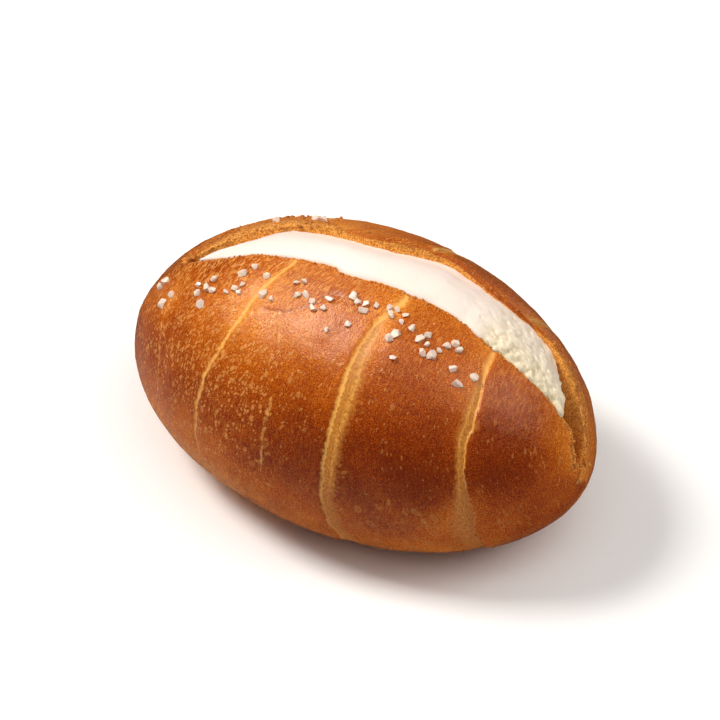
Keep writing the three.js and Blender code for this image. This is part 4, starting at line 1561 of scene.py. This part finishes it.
@dataclass
class Sprinkle:
    """Broken bits that lie on the crust, all of one finish."""

    slit: Slit
    finish: SaltFinish | CrumbFinish
    name: str
    seed: int = 20
    smallest: float = 0.76
    largest: float = 1.4
    lift: float = 0.3
    far_lift: float = 0.3
    far_below: float = 55.0
    shapes: int = 6
    breakage: float = 0.36
    tilt: float = 0.4
    full_spin: float = 6.28
    slimmest: tuple[float, float, float] = (0.85, 0.65, 0.65)
    fullest: tuple[float, float, float] = (1.1, 1.0, 0.95)
    sharp_degrees: float = 32.0

    def places(self) -> tuple[Array, Array, Array]:
        """Gives the bits' places, along the crown and round the roll, and their sizes as shares."""
        raise NotImplementedError

    def outward(self, crown: Array, angle: Array) -> Array:
        """Finds which way the crust faces.

        Args:
            crown: where the places' turns of dough cross the crown.
            angle: degrees round the roll from +Y over the crown.

        Returns:
            Outward directions of length 1.
        """
        surface = self.slit.crust_point
        along = surface(crown + 1, angle) - surface(crown - 1, angle)
        round_it = surface(crown, angle + 1) - surface(crown, angle - 1)
        normal = np.cross(round_it, along)
        return normal / np.linalg.norm(normal, axis=-1, keepdims=True)

    def bit_tree(self, values: dict[str, Any]) -> NodeTree:
        """Builds the tree that stands a broken bit on each point.

        Args:
            values: a value for each of its named inputs.

        Returns:
            The tree.
        """
        tree, given = new_tree(self.name, values)
        seed = given.outputs["Seed"]
        shapes = add(tree, "GeometryNodeJoinGeometry")
        chip = self.breakage * MM
        for number in range(self.shapes):
            ball = add(tree, "GeometryNodeMeshIcoSphere", {"Radius": MM, "Subdivisions": 1}).outputs[0]
            chips = {0: (-chip,) * 3, 1: (chip,) * 3, 8: number}
            jitter = add(tree, "FunctionNodeRandomValue", chips, data_type="FLOAT_VECTOR").outputs[0]
            broken = add(tree, "GeometryNodeSetPosition", {"Geometry": ball, "Offset": jitter}).outputs[0]
            hull = add(tree, "GeometryNodeConvexHull", {0: broken}).outputs[0]
            shape = add(tree, "GeometryNodeGeometryToInstance", {0: hull}).outputs[0]
            tree.links.new(shape, shapes.inputs[0])
        outward, share = (
            add(tree, "GeometryNodeInputNamedAttribute", {"Name": name}, data_type=kind).outputs[0]
            for name, kind in (("outward", "FLOAT_VECTOR"), ("share", "FLOAT"))
        )
        stand = add(tree, "FunctionNodeAlignRotationToVector", {"Vector": outward}, axis="Z").outputs[0]
        turns = {0: (-self.tilt, -self.tilt, 0.0), 1: (self.tilt, self.tilt, self.full_spin), 8: seed}
        spin = add(tree, "FunctionNodeRandomValue", turns, data_type="FLOAT_VECTOR").outputs[0]
        both = {0: stand, 1: spin}
        turned = add(tree, "FunctionNodeRotateRotation", both, rotation_space="LOCAL").outputs[0]
        sizes = {2: given.outputs["Smallest"], 3: given.outputs["Largest"], 8: seed}
        length = add(tree, "FunctionNodeRandomValue", sizes, data_type="FLOAT").outputs[1]
        forms = {0: self.slimmest, 1: self.fullest, 8: seed}
        form = add(tree, "FunctionNodeRandomValue", forms, data_type="FLOAT_VECTOR").outputs[0]
        length = add(tree, "ShaderNodeMath", {0: length, 1: share}, operation="MULTIPLY").outputs[0]
        scale = add(tree, "ShaderNodeVectorMath", {0: form, "Scale": length}, operation="SCALE").outputs[0]
        which = {4: 0, 5: self.shapes - 1, 8: seed}
        pick = add(tree, "FunctionNodeRandomValue", which, data_type="INT").outputs[2]
        stood = {
            "Points": given.outputs["Geometry"],
            "Instance": shapes.outputs[0],
            "Pick Instance": True,
            "Instance Index": pick,
            "Rotation": turned,
            "Scale": scale,
        }
        dressed(tree, given, add(tree, "GeometryNodeInstanceOnPoints", stood).outputs[0])
        return tree

    def build(self) -> Object:
        """Builds and dresses the bits.

        Returns:
            The piece.
        """
        crown, angle, share = self.places()
        normals = self.outward(crown, angle)
        lift = np.where(angle > self.far_below, self.lift, self.far_lift)
        lifted = self.slit.crust_point(crown, angle) + normals * lift[:, None]
        mesh = bpy.data.meshes.new(self.name + "_places")
        mesh.from_pydata((lifted * MM).tolist(), [], [])
        mesh.attributes.new("outward", "FLOAT_VECTOR", "POINT").data.foreach_set("vector", normals.ravel())
        mesh.attributes.new("share", "FLOAT", "POINT").data.foreach_set("value", share)
        values = {
            "Smallest": self.smallest,
            "Largest": self.largest,
            "Seed": self.seed,
            "Finish": self.finish.material(),
        }
        bits = grown(self.name, mesh, self.bit_tree(values), values)
        bits.shade_smooth()
        bits.set_sharp_from_angle(angle=math.radians(self.sharp_degrees))
        return piece(self.name, bits, "crust", "bread")


@dataclass(frozen=True)
class SaltPatch:
    """A loose patch of salt: its middle along and round the roll, how many grains, and their spread."""

    along: float
    round: float
    grains: int = 1
    spread: float = 0.8


@dataclass
class SaltSprinkle(Sprinkle):
    """Coarse salt baked onto the crust, grain by grain where the solid has it."""

    finish: SaltFinish = field(default_factory=SaltFinish)
    name: str = "salt_grains"
    far_lift: float = -0.75
    clearance: float = 1.9
    patches: tuple[SaltPatch, ...] = (
        SaltPatch(-51.7, 111.5, 2, 2.2), SaltPatch(-47, 122, 2, 2.4), SaltPatch(-37.2, 113, 3, 2.3),
        SaltPatch(-33, 112), SaltPatch(-34.4, 105.8), SaltPatch(-34, 119.5),
        SaltPatch(-26.6, 109.5, 4, 2.4), SaltPatch(-27, 98.6, 2, 1.8), SaltPatch(-21.8, 99),
        SaltPatch(-16, 108, 2, 2.4), SaltPatch(-12.4, 98, 2, 1.4), SaltPatch(-10, 102.5, 2, 1.6),
        SaltPatch(-5, 104.5, 4, 3), SaltPatch(1.6, 112.4), SaltPatch(5.4, 107.6),
        SaltPatch(2.4, 99, 2, 1.6), SaltPatch(6.6, 99.5, 3, 1.8), SaltPatch(10.8, 97.5, 3, 1.9),
        SaltPatch(14.6, 97, 2, 1.6), SaltPatch(15, 105, 2, 1.4), SaltPatch(17.8, 112.7),
        SaltPatch(17.8, 99.8), SaltPatch(21.6, 101.2, 3, 1.8), SaltPatch(24.8, 105.2, 3, 2.2),
        SaltPatch(28.2, 99, 3, 2.2),
        SaltPatch(30.2, 105.5), SaltPatch(32, 112), SaltPatch(35.3, 104), SaltPatch(-32.8, 67),
        SaltPatch(-21.8, 62.5, 2, 1.8), SaltPatch(-8, 37, 4, 5), SaltPatch(11, 34, 4, 5),
        SaltPatch(28, 30, 3, 4),
    )

    def places(self) -> tuple[Array, Array, Array]:
        """Lays the grains, each clear of the others.

        Returns:
            The grains' places along the crown and round the roll, and their sizes as shares.
        """
        stream = Seeded(self.seed)
        surface = self.slit.crust_point
        points: list[Array] = []
        places: list[tuple[float, float]] = []
        for patch in self.patches:
            middle = surface(np.array(patch.along), np.array(patch.round))
            radius = math.hypot(middle[1], middle[2] - self.slit.roll.waist)
            wanted = len(points) + patch.grains
            while len(points) < wanted:
                turn = 2 * math.pi * stream.draw()
                out = patch.spread * math.sqrt(stream.draw())
                crown = patch.along + out * math.cos(turn)
                angle = patch.round + math.degrees(out * math.sin(turn) / radius)
                point = surface(np.array(crown), np.array(angle))
                if all(np.linalg.norm(point - other) > self.clearance for other in points):
                    points.append(point)
                    places.append((crown, angle))
        crowns, angles = np.array(places).T
        return crowns, angles, np.ones(len(places))


@dataclass(frozen=True)
class CrumbRun:
    """Crumbs along a torn edge: which lip, from where to where, how many, how far off it and how big."""

    far: bool
    start: float
    end: float
    crumbs: int
    inward: float
    outward: float
    smallest: float
    largest: float


@dataclass
class LipCrumbs(Sprinkle):
    """Crumbs that stand on the torn lips: fine along the near one, coarser on the tear and at the ends."""

    finish: CrumbFinish = field(default_factory=CrumbFinish)
    name: str = "lip_crumbs"
    seed: int = 3
    smallest: float = 0.8
    largest: float = 1.2
    lift: float = 0.05
    far_lift: float = 0.05
    runs: tuple[CrumbRun, ...] = (
        CrumbRun(False, -46, 54, 90, 0.0, 0.8, 0.16, 0.4),
        CrumbRun(True, -48, -16, 150, -2.0, 24.0, 0.2, 0.55),
        CrumbRun(True, -14, 40, 60, -1.0, 3.0, 0.16, 0.4),
        CrumbRun(True, 42, 60, 60, -1.0, 9.0, 0.2, 0.5),
        CrumbRun(False, 57, 61, 12, -2.0, 6.0, 0.2, 0.6),
        CrumbRun(False, 61.2, 62.1, 10, -30.0, 45.0, 0.3, 0.85),
        CrumbRun(True, -50.5, -46, 16, -3.0, 12.0, 0.35, 0.85),
    )

    def places(self) -> tuple[Array, Array, Array]:
        """Lays the crumbs at random along their edges.

        Returns:
            The crumbs' places along the crown and round the roll, and their sizes as shares.
        """
        draw = np.random.default_rng(self.seed)
        laid = []
        for run in self.runs:
            crown = draw.uniform(run.start, run.end, run.crumbs)
            lip = self.slit.far if run.far else self.slit.near
            away = draw.uniform(run.inward, run.outward, run.crumbs)
            angle = self.slit.lip_angle(crown, lip) + (-away if run.far else away)
            laid.append((crown, angle, draw.uniform(run.smallest, run.largest, run.crumbs)))
        crowns, angles, sizes = (np.concatenate(part) for part in zip(*laid))
        return crowns, angles, sizes


@dataclass
class Studio:
    """The pale floor, the soft light and the camera."""

    waist: float
    azimuth: float = 29.0
    elevation: float = 45.0
    distance: float = 600.0
    focal: float = 119.25
    sensor: float = 36.0
    aim_up: float = 8.18
    aim_right: float = -0.28
    floor_side: float = 4.0
    floor_colour: str = "#fafcfe"
    floor_roughness: float = 0.9
    light_colour: str = "#fffaf3"
    sky_colour: str = "#ffffff"
    sky_dark: float = 0.04
    sky_glows: tuple[tuple[tuple[float, float, float], float, float, float], ...] = (
        ((0.0, 0.0, 1.0), 0.1, 0.9, 0.14),
        ((-0.72, 0.0, -0.69), 0.86, 0.99, 0.3),
        ((-0.1, -0.68, -0.73), 0.85, 0.98, 0.2),
        ((0.2, 0.97, -0.12), 0.92, 0.99, 0.3),
    )

    def camera(self) -> None:
        """Places the camera at the photograph's angle, with the roll a little under the picture's middle."""
        turn, tilt = math.radians(self.azimuth), math.radians(self.elevation)
        right = Vector((math.cos(turn), math.sin(turn), 0))
        ahead = Vector((-math.sin(turn), math.cos(turn), 0))
        back = -ahead * math.cos(tilt) + Vector((0, 0, math.sin(tilt)))
        up = ahead * math.sin(tilt) + Vector((0, 0, math.cos(tilt)))
        lens = bpy.data.cameras.new("camera")
        lens.lens = self.focal
        lens.sensor_width = self.sensor
        camera = bpy.data.objects.new("camera", lens)
        place = Vector((0, 0, self.waist)) + up * self.aim_up + right * self.aim_right + back * self.distance
        turned = Matrix((right, up, back)).transposed().to_4x4()
        camera.matrix_world = Matrix.Translation(place * MM) @ turned
        bpy.context.scene.collection.objects.link(camera)
        bpy.context.scene.camera = camera

    def softbox(
        self,
        name: str,
        direction: tuple[float, float, float],
        away: float,
        side: float,
        watts: float,
        in_reflections: bool = True,
        only_reflected: bool = False,
    ) -> None:
        """Hangs a square soft light that faces the roll.

        Args:
            name: the light's name.
            direction: from the roll towards the light.
            away: its distance in metres.
            side: its side in metres.
            watts: its power.
            in_reflections: whether glossy surfaces mirror it.
            only_reflected: whether it shows nowhere else.
        """
        light = bpy.data.lights.new(name, "AREA")
        light.size = side
        light.energy = watts
        light.color = linear(self.light_colour)[:3]
        box = bpy.data.objects.new(name, light)
        box.visible_glossy = in_reflections
        box.visible_diffuse = not only_reflected
        toward = Vector(direction).normalized()
        facing = toward.to_track_quat("Z", "Y").to_matrix().to_4x4()
        box.matrix_world = Matrix.Translation(toward * away) @ facing
        bpy.context.scene.collection.objects.link(box)

    def floor(self) -> None:
        """Lays the pale floor."""
        side = self.floor_side / 2
        mesh = bpy.data.meshes.new("floor")
        corners = [(-side, -side, 0), (side, -side, 0), (side, side, 0), (-side, side, 0)]
        mesh.from_pydata(corners, [], [(0, 1, 2, 3)])
        material, _, shader = new_material("white_floor")
        shader.inputs["Base Color"].default_value = linear(self.floor_colour)
        shader.inputs["Roughness"].default_value = self.floor_roughness
        mesh.materials.append(material)
        floor = bpy.data.objects.new("floor", mesh)
        bpy.context.scene.collection.objects.link(floor)
        floor.visible_glossy = False

    def sky(self) -> None:
        """Lights the room softly from a few sides and keeps colours as they are."""
        world = bpy.data.worlds.new("studio")
        world.use_nodes = True
        tree = world.node_tree
        toward = add(tree, "ShaderNodeTexCoord").outputs["Generated"]
        strength: Socket | float = self.sky_dark
        for direction, low, high, light in self.sky_glows:
            lined_up = {0: toward, 1: direction}
            facing = add(tree, "ShaderNodeVectorMath", lined_up, operation="DOT_PRODUCT").outputs["Value"]
            glow = {0: facing, 1: low, 2: high, 3: 0.0, 4: light}
            glow = add(tree, "ShaderNodeMapRange", glow, interpolation_type="SMOOTHSTEP").outputs[0]
            strength = add(tree, "ShaderNodeMath", {0: glow, 1: strength}, operation="ADD").outputs[0]
        tree.links.new(strength, tree.nodes["Background"].inputs["Strength"])
        tree.nodes["Background"].inputs["Color"].default_value = linear(self.sky_colour)
        bpy.context.scene.world = world
        bpy.context.scene.view_settings.view_transform = "Standard"

    def build(self) -> None:
        """Sets up the whole studio."""
        self.camera()
        self.floor()
        self.sky()
        self.softbox("key_left", (-0.55, -0.15, 0.82), 0.9, 0.28, 6.8, in_reflections=False)
        self.softbox("key_sheen", (-0.46, 0.04, 0.89), 0.9, 0.4, 7.8, only_reflected=True)
        self.softbox("rim_right", (0.67, 0.34, 0.66), 0.9, 0.42, 1.7)
        self.softbox("glint_top", (0.37, 0.08, 0.93), 0.9, 0.26, 0.5)
        self.softbox("top_fill", (0.35, -0.1, 0.93), 1.2, 1.2, 5.8, in_reflections=False)


def main() -> None:
    """Builds the roll, its cream, crumbs and salt, and the studio, in that order."""
    logging.basicConfig(level=logging.INFO)
    low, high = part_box("bread")
    slit = Slit(RollShape(length=(high.x - low.x) / MM))
    BreadRoll(slit).build()
    CreamFilling(slit).build()
    LipCrumbs(slit).build()
    SaltSprinkle(slit).build()
    Studio(slit.roll.waist).build()


if __name__ == "__main__":
    main()
